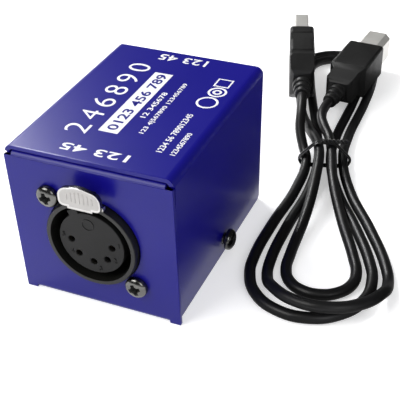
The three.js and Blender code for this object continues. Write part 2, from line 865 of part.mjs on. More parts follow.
function makeSocketShell() {
  let shell = block(socket.x0, socket.x1, socket.y0, socket.y1, socket.z0, socket.z1);
  const inner = block(
    socket.x0 + socketWall,
    socket.x1 - socketWall,
    socket.y0 - overrun,
    socket.y1 - socketWall,
    socket.z0 + socketWall,
    socket.z1 - socketWall,
  );
  const outline = squareMouth(mouthWidth, mouthHeight, mouthBevel, socketMiddle);
  const mouth = prismY(outline, socket.y1 - socketWall - overrun, socket.y1 + overrun);
  shell = shell.subtract(inner).subtract(mouth);
  for (const side of [-1, 1]) {
    const edges = [side * (socketWidth / 2 - socketWall), (side * socketWidth) / 2].sort((a, b) => a - b);
    const middle = socket.y1 - socketLegInset;
    const half = socketLegWidth / 2;
    shell = shell.add(
      block(...edges, middle - half, middle + half, socket.z0 - socketLegBelow, socket.z0 + socketWall),
    );
  }
  return shell;
}

function makeSocketHousing() {
  const gap = socketWall + socketFillGap;
  const front = socket.y1 - gap;
  let housing = block(socket.x0 + gap, socket.x1 - gap, socket.y0, front, socket.z0 + gap, socket.z1 - gap);
  const back = socket.y1 - mouthDepth;
  housing = housing.subtract(
    prismY(squareMouth(mouthWidth, mouthHeight, mouthBevel, socketMiddle), back, front + overrun),
  );
  const half = tongueBlockHeight / 2;
  const tongueFront = front - tongueBlockInset;
  housing = housing.add(
    block(
      -tongueBlockWidth / 2,
      tongueBlockWidth / 2,
      back - overrun,
      tongueFront,
      socketMiddle - half,
      socketMiddle + half,
    ),
  );
  const reach = stripWidth / 2 + stripSlotGap;
  const ends = [socket.y0 - overrun, tongueFront + overrun];
  for (const side of [-1, 1]) {
    for (const up of [-1, 1]) {
      const heights = [
        socketMiddle + up * (half - stripSlotGap + stripGap),
        socketMiddle + up * (half + stripGap + stripThickness + stripSlotGap),
      ].sort((a, b) => a - b);
      const x = side * stripX;
      housing = housing.subtract(block(x - reach, x + reach, ...ends, ...heights));
    }
  }
  return housing;
}

function makeSocketStrip(side, up) {
  const x = side * stripX;
  const half = stripWidth / 2;
  const near = socketMiddle + up * (tongueBlockHeight / 2 + stripGap);
  const far = near + up * stripThickness;
  const heights = [near, far].sort((a, b) => a - b);
  const back = stripTailY(up > 0);
  const tail = stripThickness / 2;
  const front = socket.y1 - socketWall - socketFillGap - tongueBlockInset - stripFrontInset;
  const sides = [x - tailWidth / 2, x + tailWidth / 2];
  return joined([
    block(x - half, x + half, back - tail, front, ...heights),
    block(...sides, back - tail, back + tail, boardBottom - tailBelowBoard, heights[1]),
  ]);
}

// A moulded chip with two rows of bent leads, its long side along X when wide is true
function makeChip(chip, wide) {
  const base = boardTop + partSeatGap;
  const a = chip.length / 2;
  const b = chip.width / 2;
  const bodyBottom = base + leadThickness / 2;
  const kneeTop = base + leadHeight;
  const pieces = [block(-a, a, -b, b, bodyBottom, base + chip.height)];
  const spacing = (chip.length - leadMargin) / (chip.leads - 1);
  for (let lead = 0; lead < chip.leads; lead++) {
    const middle = (lead - (chip.leads - 1) / 2) * spacing;
    const sides = [middle - leadWidth / 2, middle + leadWidth / 2];
    for (const row of [-1, 1]) {
      const inner = row * (b - leadEmbed);
      const knee = row * (b + chip.leadReach / 2);
      const kneeIn = knee - row * leadThickness;
      const toe = row * (b + chip.leadReach);
      const order = (p, q) => [Math.min(p, q), Math.max(p, q)];
      pieces.push(block(...sides, ...order(inner, knee), kneeTop - leadThickness, kneeTop));
      pieces.push(block(...sides, ...order(kneeIn, knee), base, kneeTop));
      pieces.push(block(...sides, ...order(kneeIn, toe), base, base + leadThickness));
    }
  }
  const solid = joined(pieces);
  return (wide ? solid : solid.rotate([0, 0, 90])).translate([chip.x, chip.y, 0]);
}

function makeCrystal() {
  const base = boardTop + partSeatGap;
  const outline = roundedRectangle(
    crystalX - crystalWidth / 2,
    crystalX + crystalWidth / 2,
    crystalY - crystalLength / 2,
    crystalY + crystalLength / 2,
    crystalWidth / 2 - weldDistance,
  );
  return prismZ(outline, base, base + crystalHeight, bendSegments + 1);
}

function makeCapacitor(can) {
  const base = boardTop + partSeatGap;
  const half = can.radius + canBaseMargin;
  const foot = block(can.x - half, can.x + half, can.y - half, can.y + half, base, base + canBaseHeight);
  const bottom = base + canBaseHeight / 2;
  const top = base + can.height;
  const profile = [
    [0, bottom],
    [can.radius, bottom],
    [can.radius, base + canBaseHeight + canGroove],
    [can.radius - canGroove, base + canBaseHeight + canGroove * 2],
    [can.radius, base + canBaseHeight + canGroove * 3],
    [can.radius, top - canGroove],
    [can.radius - canGroove, top],
    [0, top],
  ];
  return foot.add(lathe(profile).rotate([90, 0, 0]).translate([can.x, can.y, 0]));
}

function makeFuse() {
  const base = boardTop + partSeatGap;
  const a = fuseWidth / 2;
  const b = fuseLength / 2;
  const raised = fuseCapHeight;
  const body = block(fuseX - a, fuseX + a, fuseY - b, fuseY + b, base + raised, base + fuseHeight - raised);
  const caps = [-1, 1].map((end) => {
    const edges = [fuseY + end * (b - fuseCapLength), fuseY + end * (b + raised)].sort((p, q) => p - q);
    return block(fuseX - a, fuseX + a, ...edges, base, base + fuseHeight);
  });
  return joined([body, ...caps]);
}

// Cable. The hank has three lower folds, A, B and C, and two arches. Four strands lie side by side
// at the waist, and the two of fold C lie on the middle ones, then roll off them to the inside.

const waistLift = tieThickness + tieGap;
const outerSlot = strandPitch * 1.5;
const innerSlot = strandPitch / 2;
const outerArchRadius = arch.radius + layerPitch;
const flatPlugHeight = cordDiameter + plugOnStrandGap + flatPlug.width / 2; // on its narrow side
const squarePlugHeight = cordDiameter + plugOnStrandGap + squarePlug.thickness / 2;

function eased(share) {
  const t = Math.min(1, Math.max(0, share));
  return t * t * (3 - 2 * t);
}

function floorHeight(along) {
  return cordRadius + waistLift * (1 - eased(Math.abs(along) / tieLiftLength));
}

// A leg runs from its slot at the waist to its end at a fold or arch, on the floor
function legSide(leg, along) {
  return leg.slot + (leg.end - leg.slot) * eased(along / leg.along);
}

// An upper leg starts on top of its carrier and rolls off it
function legPoint(leg, share) {
  const along = leg.along * share;
  if (!leg.carrier) return new THREE.Vector3(along, legSide(leg, along), floorHeight(along));
  const turn = (Math.PI / 2) * eased(Math.abs(along) / leg.rollLength);
  const offset = (leg.end - leg.carrier.end) * Math.sin(turn);
  const height = floorHeight(along) + layerPitch * Math.cos(turn);
  return new THREE.Vector3(along, legSide(leg.carrier, along) + offset, height);
}

function legOut(leg) {
  const shares = leg.along < 0 ? lowerLegShares : upperLegShares;
  return shares.map((share) => legPoint(leg, share));
}

function legIn(leg) {
  return legOut(leg).reverse();
}

// A fold or arch turns half round, past its middle
function turnPoints(middle, radius, fromSide, rise) {
  const points = [];
  for (let step = 1; step < stepsPerFold; step++) {
    const angle = (step / stepsPerFold) * Math.PI;
    const along = middle.along + Math.sign(middle.along) * radius * Math.sin(angle);
    const side = middle.side + fromSide * radius * Math.cos(angle);
    const height = cordRadius + rise * Math.sin(angle) ** foldRiseExponent;
    points.push(new THREE.Vector3(along, side, height));
  }
  return points;
}

// The first leg leaves the flat plug straight, and comes down to the waist
function startLegPoints() {
  const turn = THREE.MathUtils.degToRad(flatPlug.turnDegrees);
  const direction = new THREE.Vector3(Math.cos(turn), Math.sin(turn), 0);
  const end = new THREE.Vector3(startLegAlong, flatPlug.side, flatPlugHeight);
  const points = [end.clone().addScaledVector(direction, cordDiameter), end];
  for (const share of [...endLegShares].reverse()) {
    const side = outerSlot + (flatPlug.side - outerSlot) * eased(share / startLegSideShare);
    const height = floorHeight(0) + (flatPlugHeight - floorHeight(0)) * eased(share);
    points.push(new THREE.Vector3(startLegAlong * share, side, height));
  }
  return points;
}

// The last leg rises from the waist and enters the square plug straight
function endLegPoints() {
  const turn = THREE.MathUtils.degToRad(squarePlug.turnDegrees);
  const direction = new THREE.Vector3(Math.cos(turn), Math.sin(turn), 0);
  const start = new THREE.Vector3(0, -innerSlot, floorHeight(0) + layerPitch);
  const end = new THREE.Vector3(endLegAlong, endLegSide, squarePlugHeight);
  const leaving = start.clone().setX(endLegBow);
  const entering = end.clone().addScaledVector(direction, -endLegBow);
  const curve = new THREE.CubicBezierCurve3(start, leaving, entering, end);
  const bent = endLegShares.map((share) => curve.getPoint(share));
  return [...bent, end, end.clone().addScaledVector(direction, cordDiameter)];
}

function hankRoute() {
  const leg = (middle, slot, end) => ({ along: middle.along, slot, end });
  const leftOf = (middle) => middle.side + middle.radius;
  const rightOf = (middle) => middle.side - middle.radius;
  const lowerA = leg(foldA, outerSlot, leftOf(foldA));
  const lowerARight = leg(foldA, -innerSlot, rightOf(foldA));
  const lowerB = leg(foldB, innerSlot, leftOf(foldB));
  const lowerBRight = leg(foldB, -outerSlot, rightOf(foldB));
  const lowerC = { ...leg(foldC, innerSlot, leftOf(foldC)), carrier: lowerB, rollLength: lowerRollLength };
  const lowerCRight = {
    ...leg(foldC, -innerSlot, rightOf(foldC)),
    carrier: lowerARight,
    rollLength: lowerRollLength,
  };
  const upperARight = leg(arch, -innerSlot, rightOf(arch));
  const upperB = leg(arch, innerSlot, leftOf(arch));
  const upperBRight = leg(arch, -outerSlot, arch.side - outerArchRadius);
  const upperC = {
    ...leg(arch, innerSlot, arch.side + outerArchRadius),
    carrier: upperB,
    rollLength: upperRollLength,
  };
  return [
    ...startLegPoints(),
    ...legOut(lowerA),
    ...turnPoints(foldA, foldA.radius, 1, 0),
    ...legIn(lowerARight),
    ...legOut(upperARight).slice(1),
    ...turnPoints(arch, arch.radius, -1, 0),
    ...legIn(upperB),
    ...legOut(lowerB).slice(1),
    ...turnPoints(foldB, foldB.radius, 1, foldRise),
    ...legIn(lowerBRight),
    ...legOut(upperBRight).slice(1),
    ...turnPoints(arch, outerArchRadius, -1, 0),
    ...legIn(upperC),
    ...legOut(lowerC).slice(1),
    ...turnPoints(foldC, foldC.radius, 1, 0),
    ...legIn(lowerCRight),
    ...endLegPoints(),
  ];
}

function routeRings(points) {
  return points.map((middle, index) => {
    const before = points[Math.max(0, index - 1)];
    const after = points[Math.min(points.length - 1, index + 1)];
    const run = after.clone().sub(before).normalize();
    const across = new THREE.Vector3(-run.y, run.x, 0).normalize();
    return { middle, across, over: new THREE.Vector3().crossVectors(run, across) };
  });
}

// Least distance between the surfaces of stretches of the cord that are not neighbours, on points
function leastSelfGap(points) {
  const curve = new THREE.CurvePath();
  points.slice(1).forEach((point, index) => curve.add(new THREE.LineCurve3(points[index], point)));
  const samples = curve.getSpacedPoints(Math.round(curve.getLength() / (cordRadius / 2)));
  const skip = Math.round((cordDiameter * 3) / (cordRadius / 2));
  let least = Infinity;
  for (let i = 0; i < samples.length; i++) {
    for (let j = i + skip; j < samples.length; j++) {
      least = Math.min(least, samples[i].distanceTo(samples[j]) - cordDiameter);
    }
  }
  return { least, length: curve.getLength() };
}

function makeHank() {
  const points = hankRoute();
  const { least, length } = leastSelfGap(points);
  console.log("cord length " + length.toFixed(0) + " mm, least gap to itself " + least.toFixed(2) + " mm");
  return tubeAlong(routeRings(points), cordRadius, cordSides);
}

// Outline of the tie: a band round the four lower strands and the two upper ones
function tieOutline(radius) {
  const low = floorHeight(0);
  const high = low + layerPitch;
  const shape = new THREE.Shape();
  shape.absarc(outerSlot, low, radius, -Math.PI / 2, Math.PI / 4, false);
  shape.absarc(innerSlot, high, radius, Math.PI / 4, Math.PI / 2, false);
  shape.absarc(-innerSlot, high, radius, Math.PI / 2, Math.PI * 0.75, false);
  shape.absarc(-outerSlot, low, radius, Math.PI * 0.75, Math.PI * 1.5, false);
  return shape;
}

function makeTie() {
  const inner = cordRadius + tieGap;
  const outer = inner + tieThickness;
  const half = tieWidth / 2;
  const opening = prismX(tieOutline(inner), -half - overrun, half + overrun);
  const band = prismX(tieOutline(outer), -half, half).subtract(opening);
  const top = floorHeight(0) + layerPitch + inner + tieTailRadius;
  const tail = rodX(tieTailRadius, 0, 0, 0, tieTailLength).rotate([0, 0, -90]);
  return band.add(tail.translate([0, tieTailInset, top]));
}

// Plug bodies with their strain reliefs

function reliefProfile(plug) {
  const points = [[0, 0]];
  const step = plug.reliefLength / reliefRings;
  for (let ring = 0; ring < reliefRings; ring++) {
    const grow = (share) => plug.reliefStart + (plug.reliefEnd - plug.reliefStart) * share;
    const start = ring / reliefRings;
    const end = (ring + reliefRingShare) / reliefRings;
    points.push([grow(start), ring * step]);
    points.push([grow(end), (ring + reliefRingShare) * step]);
    points.push([grow(end) - reliefRingDrop, (ring + reliefRingShare) * step]);
    points.push([grow(end) - reliefRingDrop, (ring + 1) * step]);
  }
  const radius = plug.reliefEnd - reliefRingDrop;
  points.push([radius, plug.reliefLength + plug.neckLength / 2]);
  points.push([0, plug.reliefLength + plug.neckLength / 2]);
  return points;
}

// One view of a plug body: a straight neck that flares to the full width
function plugOutline(plug, width, neckWidth) {
  const start = plug.reliefLength;
  const flare = start + plug.neckLength - plug.flareLength;
  const full = start + plug.neckLength;
  const end = start + plug.length;
  const half = width / 2;
  const neck = neckWidth / 2;
  const c = plug.corner;
  return polygon([
    [start, c - neck],
    [start + c, -neck],
    [flare, -neck],
    [full, -half],
    [end - c / 2, -half],
    [end, c / 2 - half],
    [end, half - c / 2],
    [end - c / 2, half],
    [full, half],
    [flare, neck],
    [start + c, neck],
    [start, neck - c],
  ]);
}

function plugBody(plug) {
  const a = plug.width / 2;
  const b = plug.thickness / 2;
  const end = plug.reliefLength + plug.length;
  const topView = prismZ(plugOutline(plug, plug.width, plug.neckWidth), -b, b);
  const sideView = prismY(plugOutline(plug, plug.thickness, plug.neckThickness), -a, a);
  const endView = prismX(roundedRectangle(-a, a, -b, b, plug.corner), 0, end + overrun);
  return topView.intersect(sideView).intersect(endView).add(lathe(reliefProfile(plug)).rotate([0, 0, -90]));
}

function makeFlatPlugBody() {
  let body = plugBody(flatPlug);
  const front = flatPlug.reliefLength + flatPlug.length;
  const half = flatPlug.thickness / 2 + overrun;
  const face = flatPlug.width / 2;
  bandStartShares.forEach((startShare, index) => {
    const x0 = flatPlug.reliefLength + flatPlug.length * startShare;
    const x1 = flatPlug.reliefLength + flatPlug.length * bandEndShares[index];
    body = body.subtract(block(x0, x1, face - bandDepth, face + overrun, -half, half));
    body = body.subtract(block(x0, x1, -face - overrun, bandDepth - face, -half, half));
  });
  const a = flatPlug.shellWidth / 2 + pocketGap;
  const b = flatPlug.shellHeight / 2 + pocketGap;
  return body.subtract(block(front - pocketDepth, front + overrun, -a, a, -b, b));
}

const flatShellStart = flatPlug.reliefLength + flatPlug.length - pocketDepth + pocketGap;
const flatShellEnd = flatPlug.reliefLength + flatPlug.length + flatPlug.shellLength;
const squareShellStart = squarePlug.reliefLength + squarePlug.length - pocketDepth + pocketGap;
const squareShellEnd = squarePlug.reliefLength + squarePlug.length + squarePlug.shellLength;

function makeFlatPlugShell() {
  const a = flatPlug.shellWidth / 2;
  const b = flatPlug.shellHeight / 2;
  const w = shellWall;
  const outer = prismX(roundedRectangle(-a, a, -b, b, flatPlug.shellCorner), flatShellStart, flatShellEnd);
  const hollow = roundedRectangle(w - a, a - w, w - b, b - w, flatPlug.shellCorner - w);
  let shell = outer.subtract(prismX(hollow, flatShellStart - overrun, flatShellEnd + overrun));
  const half = windowWidth / 2;
  const x = flatShellEnd - windowInset;
  for (const side of [-1, 1]) {
    const y = (side * windowSpacing) / 2;
    shell = shell.subtract(block(x - windowLength, x, y - half, y + half, -b - overrun, b + overrun));
  }
  return shell;
}

const flatTongueTop = -flatPlug.shellHeight / 2 + shellWall + flatInsertGap + flatTongueThickness;

function makeFlatPlugInsert() {
  const a = flatPlug.shellWidth / 2 - shellWall - flatInsertGap;
  const b = flatPlug.shellHeight / 2 - shellWall - flatInsertGap;
  return joined([
    block(flatShellStart, flatShellStart + flatBlockLength, -a, a, -b, b),
    block(flatShellStart, flatShellEnd - flatTongueInset, -a, a, -b, flatTongueTop),
  ]);
}

function makeFlatPlugContact(side) {
  const front = flatShellEnd - flatTongueInset - flatContactInset;
  const half = stripWidth / 2;
  const z = flatTongueTop + stripGap;
  return block(front - flatContactLength, front, side - half, side + half, z, z + stripThickness);
}

function makeSquarePlugBody() {
  const front = squarePlug.reliefLength + squarePlug.length;
  const a = squarePlug.shellWidth / 2 + pocketGap;
  const b = squarePlug.shellHeight / 2 + pocketGap;
  return plugBody(squarePlug).subtract(block(front - pocketDepth, front + overrun, -a, a, -b, b));
}

function makeSquarePlugShell() {
  const { shellWidth, shellHeight, shellBevel } = squarePlug;
  const outer = squareMouth(shellWidth, shellHeight, shellBevel, 0);
  const inner = squareMouth(shellWidth - shellWall * 2, shellHeight - shellWall * 2, shellBevel, 0);
  return prismX(outer, squareShellStart, squareShellEnd).subtract(
    prismX(inner, squareShellStart - overrun, squareShellEnd + overrun),
  );
}

function makeSquarePlugInsert() {
  const { shellWidth, shellHeight, shellBevel } = squarePlug;
  const trim = (shellWall + squareInsertGap) * 2;
  const outline = squareMouth(shellWidth - trim, shellHeight - trim, shellBevel, 0);
  const front = squareShellEnd - squareInsertInset;
  const a = squareCavityWidth / 2;
  const b = squareCavityHeight / 2;
  return prismX(outline, squareShellStart, front).subtract(
    block(front - squareCavityDepth, front + overrun, -a, a, -b, b),
  );
}

// Assembly

const root = new THREE.Group();

addPiece(root, "base_tray", makeBaseTray(), bluePaint);
addPiece(root, "top_cover", makeTopCover(), bluePaint);
addPiece(root, "xlr_housing", makeConnectorHousing(), blackPlastic);
addPiece(root, "xlr_insert", makeConnectorInsert(), greyPlastic);
contactTurnShares.forEach((share, index) => {
  addPiece(root, "xlr_contact_" + (index + 1), makeConnectorContact(index), contactGold);
});
addPiece(root, "push_latch", makePushLatch(), satinNickel);
addPiece(root, "latch_spring", makeLatchSpring(), springSteel);

for (const [name, side] of [["xlr_screw_upper", -1], ["xlr_screw_lower", 1]]) {
  const screw = addPiece(root, name, panScrew(connectorScrewLength), blackNickel);
  const z = connectorHeight - side * connectorScrewOffset;
  screw.position.set(side * connectorScrewOffset, frontFace - screwSeatGap, z);
}
for (const [name, side] of [["cover_screw_right", 1], ["cover_screw_left", -1]]) {
  const screw = addPiece(root, name, panScrew(coverScrewLength), blackNickel);
  screw.position.set(side * (boxWidth / 2 + screwSeatGap), coverScrewY, coverScrewHeight);
  screw.rotation.z = (side * Math.PI) / 2;
}

addPiece(root, "circuit_board", makeCircuitBoard(), boardGreen);
addPiece(root, "usb_socket_shell", makeSocketShell(), plugSteel);
addPiece(root, "usb_socket_housing", makeSocketHousing(), socketWhite);
[[-1, 1], [1, 1], [-1, -1], [1, -1]].forEach(([side, up], index) => {
  addPiece(root, "usb_socket_contact_" + (index + 1), makeSocketStrip(side, up), contactGold);
});
addPiece(root, "bridge_chip", makeChip(bridgeChip, true), chipBlack);
addPiece(root, "line_driver_chip", makeChip(driverChip, false), chipBlack);
addPiece(root, "crystal_can", makeCrystal(), canAluminium);
addPiece(root, "supply_capacitor", makeCapacitor(supplyCan), canAluminium);
addPiece(root, "input_capacitor", makeCapacitor(inputCan), canAluminium);
addPiece(root, "fuse", makeFuse(), fuseGreen);

const cable = new THREE.Group();
cable.position.set(hankX, hankY, 0);
cable.rotation.z = THREE.MathUtils.degToRad(hankTurnDegrees);
root.add(cable);
addPiece(cable, "cable_hank", makeHank(), cordBlack);
addPiece(cable, "cable_tie", makeTie(), cordBlack);

// The flat plug stands on a narrow side, turned a little to the left
const flatTurn = THREE.MathUtils.degToRad(flatPlug.turnDegrees);
const plugReach = cordDiameter + plugCordGap;
const flatStand = new THREE.Group();
flatStand.position.set(
  startLegAlong + plugReach * Math.cos(flatTurn),
  flatPlug.side + plugReach * Math.sin(flatTurn),
  flatPlugHeight,
);
flatStand.rotation.z = flatTurn;
cable.add(flatStand);
const flatGroup = new THREE.Group();
flatGroup.rotation.x = Math.PI / 2;
flatStand.add(flatGroup);
addPiece(flatGroup, "flat_plug_body", makeFlatPlugBody(), cordBlack);
addPiece(flatGroup, "flat_plug_shell", makeFlatPlugShell(), plugSteel);
addPiece(flatGroup, "flat_plug_insert", makeFlatPlugInsert(), socketWhite);
flatContactSides.forEach((side, index) => {
  addPiece(flatGroup, "flat_plug_contact_" + (index + 1), makeFlatPlugContact(side), contactGold);
});

const squareGroup = new THREE.Group();
const squareTurn = THREE.MathUtils.degToRad(squarePlug.turnDegrees);
squareGroup.position.set(
  endLegAlong + plugReach * Math.cos(squareTurn),
  endLegSide + plugReach * Math.sin(squareTurn),
  squarePlugHeight,
);
squareGroup.rotation.z = squareTurn;
cable.add(squareGroup);
addPiece(squareGroup, "square_plug_body", makeSquarePlugBody(), cordBlack);
addPiece(squareGroup, "square_plug_shell", makeSquarePlugShell(), plugSteel);
addPiece(squareGroup, "square_plug_insert", makeSquarePlugInsert(), socketWhite);

export default root;
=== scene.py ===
import json
import math
import bmesh
import bpy
from mathutils import Matrix, Vector


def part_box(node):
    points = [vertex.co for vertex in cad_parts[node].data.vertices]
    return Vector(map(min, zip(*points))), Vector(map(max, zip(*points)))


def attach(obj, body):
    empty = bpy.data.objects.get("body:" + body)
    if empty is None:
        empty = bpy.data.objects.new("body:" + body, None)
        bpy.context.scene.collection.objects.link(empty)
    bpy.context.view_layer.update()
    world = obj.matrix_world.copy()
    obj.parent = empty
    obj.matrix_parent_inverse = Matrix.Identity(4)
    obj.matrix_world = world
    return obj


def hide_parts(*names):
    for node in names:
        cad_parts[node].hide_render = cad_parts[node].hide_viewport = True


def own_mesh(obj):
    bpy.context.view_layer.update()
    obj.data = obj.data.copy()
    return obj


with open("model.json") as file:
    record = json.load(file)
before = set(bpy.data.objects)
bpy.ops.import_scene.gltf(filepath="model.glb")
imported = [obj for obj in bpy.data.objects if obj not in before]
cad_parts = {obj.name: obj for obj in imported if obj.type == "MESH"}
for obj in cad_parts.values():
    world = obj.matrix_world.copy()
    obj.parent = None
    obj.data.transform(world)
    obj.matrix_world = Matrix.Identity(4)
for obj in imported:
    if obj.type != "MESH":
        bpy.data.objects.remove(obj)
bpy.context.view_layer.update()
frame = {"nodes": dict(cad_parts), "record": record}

nodes = frame["nodes"]
scene = bpy.context.scene
scene.view_settings.view_transform = "Standard"
mm = 0.001
print("frame loaded:", len(nodes), "nodes")

# camera, set by the box's edges in the photograph
cameraLook = {
    "place": (86.37, -157.68, 138.61),   # mm
    "azimuth": 23.18,
    "elevation": 36.66,
    "roll": -1.41,
    "lens": 80.21,
    "sensor": 36,
    "shift": (-0.05, 0.05),
    "clip": (0.01, 20),                  # m
}


def makeCamera(look):
    data = bpy.data.cameras.new("camera")
    data.lens = look["lens"]
    data.sensor_width = look["sensor"]
    data.shift_x, data.shift_y = look["shift"]
    data.clip_start, data.clip_end = look["clip"]
    turn, tilt = math.radians(look["azimuth"]), math.radians(look["elevation"])
    roll = math.radians(look["roll"])
    back = Vector((math.sin(turn) * math.cos(tilt), -math.cos(turn) * math.cos(tilt), math.sin(tilt)))
    level = Vector((math.cos(turn), math.sin(turn), 0))
    upright = back.cross(level)
    across = level * math.cos(roll) + upright * math.sin(roll)
    up = upright * math.cos(roll) - level * math.sin(roll)
    camera = bpy.data.objects.new("camera", data)
    scene.collection.objects.link(camera)
    camera.matrix_world = Matrix((across, up, back)).transposed().to_4x4()
    camera.location = Vector(look["place"]) * mm
    scene.camera = camera


makeCamera(cameraLook)
print("camera ready")

# the lead in its hank: the route of the modelled solid, in mm, along and to the left of the waist;
# each fold has its middle's place along and to the side, and its radius
lead = {
    "diameter": 2.8,
    "strandPitch": 3.4,
    "layerPitch": 3.65,
    "place": (31, 47),
    "turn": 105.5,
    "foldA": (-49.5, 1.95, 14.45),
    "foldB": (-50, -2, 14.2),
    "foldC": (-47.5, -0.45, 8.4),
    "arch": (56, -2.5, 8.4),
    "foldRise": 3.75,
    "riseExponent": 0.6,
    "waistLift": 1.2,
    "liftLength": 20,
    "lowerRoll": 45,
    "upperRoll": 28,
    "lowerShares": (0, 0.28, 0.6, 0.88, 1),
    "upperShares": (0, 0.25, 0.5, 0.6, 0.9, 1),
    "plugShares": (0.25, 0.5, 0.75),
    "foldSteps": 6,
    "plugGap": 0.3,      # between a plug and the strands under it
    "roundSteps": 5,
    "routeSteps": 7,
}
flatPlug = {"along": 19, "side": 7.4, "turn": 3, "sideShare": 0.5, "tall": 15}
squarePlug = {"along": 20, "side": 0.5, "turn": -20, "bow": 9, "tall": 10.4}
cordRadius = lead["diameter"] / 2
flatPlugHeight = lead["diameter"] + lead["plugGap"] + flatPlug["tall"] / 2
squarePlugHeight = lead["diameter"] + lead["plugGap"] + squarePlug["tall"] / 2
outerSlot = lead["strandPitch"] * 1.5
innerSlot = lead["strandPitch"] / 2
outerArch = lead["arch"][2] + lead["layerPitch"]


def eased(share):
    share = min(1, max(0, share))
    return share * share * (3 - 2 * share)


def floorHeight(along):
    return cordRadius + lead["waistLift"] * (1 - eased(abs(along) / lead["liftLength"]))


def legSide(leg, along):
    return leg["slot"] + (leg["end"] - leg["slot"]) * eased(along / leg["along"])


def legPoint(leg, share):
    along = leg["along"] * share
    if "carrier" not in leg:
        return Vector((along, legSide(leg, along), floorHeight(along)))
    carrier = leg["carrier"]
    roll = lead["lowerRoll"] if leg["along"] < 0 else lead["upperRoll"]
    turn = math.pi / 2 * eased(abs(along) / roll)
    side = legSide(carrier, along) + (leg["end"] - carrier["end"]) * math.sin(turn)
    return Vector((along, side, floorHeight(along) + lead["layerPitch"] * math.cos(turn)))


def legOut(leg):
    shares = lead["lowerShares"] if leg["along"] < 0 else lead["upperShares"]
    return [legPoint(leg, share) for share in shares]


def turnPoints(middle, radius, fromSide, rise):
    points = []
    for step in range(1, lead["foldSteps"]):
        angle = step / lead["foldSteps"] * math.pi
        along = middle[0] + math.copysign(radius * math.sin(angle), middle[0])
        height = cordRadius + rise * math.sin(angle) ** lead["riseExponent"]
        points.append(Vector((along, middle[1] + fromSide * radius * math.cos(angle), height)))
    return points


def startLeg():
    turn = math.radians(flatPlug["turn"])
    end = Vector((flatPlug["along"], flatPlug["side"], flatPlugHeight))
    points = [end + Vector((math.cos(turn), math.sin(turn), 0)) * lead["diameter"], end]
    low = floorHeight(0)
    for share in reversed(lead["plugShares"]):
        side = outerSlot + (flatPlug["side"] - outerSlot) * eased(share / flatPlug["sideShare"])
        height = low + (flatPlugHeight - low) * eased(share)
        points.append(Vector((flatPlug["along"] * share, side, height)))
    return points


def endLeg():
    turn = math.radians(squarePlug["turn"])
    direction = Vector((math.cos(turn), math.sin(turn), 0))
    start = Vector((0, -innerSlot, floorHeight(0) + lead["layerPitch"]))
    end = Vector((squarePlug["along"], squarePlug["side"], squarePlugHeight))
    leaving = start + Vector((squarePlug["bow"], 0, 0))
    entering = end - direction * squarePlug["bow"]
    points = []
    for share in lead["plugShares"]:
        rest = 1 - share
        points.append(start * rest ** 3 + leaving * 3 * rest * rest * share
                      + entering * 3 * rest * share * share + end * share ** 3)
    return points + [end, end + direction * lead["diameter"]]


def hankRoute():
    def leg(middle, slot, end, carrier=None):
        made = {"along": middle[0], "slot": slot, "end": end}
        if carrier:
            made["carrier"] = carrier
        return made
    a, b, c, arch = lead["foldA"], lead["foldB"], lead["foldC"], lead["arch"]
    lowerA = leg(a, outerSlot, a[1] + a[2])
    lowerARight = leg(a, -innerSlot, a[1] - a[2])
    lowerB = leg(b, innerSlot, b[1] + b[2])
    lowerBRight = leg(b, -outerSlot, b[1] - b[2])
    lowerC = leg(c, innerSlot, c[1] + c[2], lowerB)
    lowerCRight = leg(c, -innerSlot, c[1] - c[2], lowerARight)
    upperARight = leg(arch, -innerSlot, arch[1] - arch[2])
    upperB = leg(arch, innerSlot, arch[1] + arch[2])
    upperBRight = leg(arch, -outerSlot, arch[1] - outerArch)
    upperC = leg(arch, innerSlot, arch[1] + outerArch, upperB)
    points = startLeg() + legOut(lowerA) + turnPoints(a, a[2], 1, 0) + legOut(lowerARight)[::-1]
    points += legOut(upperARight)[1:] + turnPoints(arch, arch[2], -1, 0) + legOut(upperB)[::-1]
    points += legOut(lowerB)[1:] + turnPoints(b, b[2], 1, lead["foldRise"]) + legOut(lowerBRight)[::-1]
    points += legOut(upperBRight)[1:] + turnPoints(arch, outerArch, -1, 0) + legOut(upperC)[::-1]
    points += legOut(lowerC)[1:] + turnPoints(c, c[2], 1, 0) + legOut(lowerCRight)[::-1]
    return points + endLeg()


# from the hank's own directions to the frame
hankPlace = (Matrix.Translation(Vector((*lead["place"], 0)) * mm)
             @ Matrix.Rotation(math.radians(lead["turn"]), 4, "Z"))


def makeLead():
    route = [hankPlace @ (point * mm) for point in hankRoute()]
    data = bpy.data.curves.new("lead", "CURVE")
    data.dimensions = "3D"
    data.bevel_depth = cordRadius * mm
    data.bevel_resolution = lead["roundSteps"]
    data.resolution_u = lead["routeSteps"]
    data.use_fill_caps = True
    line = data.splines.new("BEZIER")
    line.bezier_points.add(len(route) - 1)
    for knot, point in zip(line.bezier_points, route):
        knot.co = point
        knot.handle_left_type = knot.handle_right_type = "AUTO"
    piece = bpy.data.objects.new("leadCord", data)
    scene.collection.objects.link(piece)
    return piece, route


leadCord, leadRoute = makeLead()
print("lead laid:", len(leadRoute), "points")

# shared effects
effects = {
    "cloudRamp": (0.35, 0.68),       # where the second tint starts and where it is full
    "cloudDetail": 3,
    "waveDetail": 2,
    "pitDetail": 1,
    "touchDetail": 4,
    "touchBreak": 0.6,
    "touchRange": (0.3, 0.7),        # the noise that spreads over the two roughnesses
    "cloud": 60,                     # scale of the tints where a finish has none of its own
    "touch": 90,                     # the same for roughness
}


def newGroup(name, inputs, outputs):
    group = bpy.data.node_groups.new(name, "ShaderNodeTree")
    for label, kind in inputs:
        group.interface.new_socket(label, in_out="INPUT", socket_type=kind)
    for label, kind in outputs:
        group.interface.new_socket(label, in_out="OUTPUT", socket_type=kind)
    start = group.nodes.new("NodeGroupInput")
    end = group.nodes.new("NodeGroupOutput")
    return group, start, end


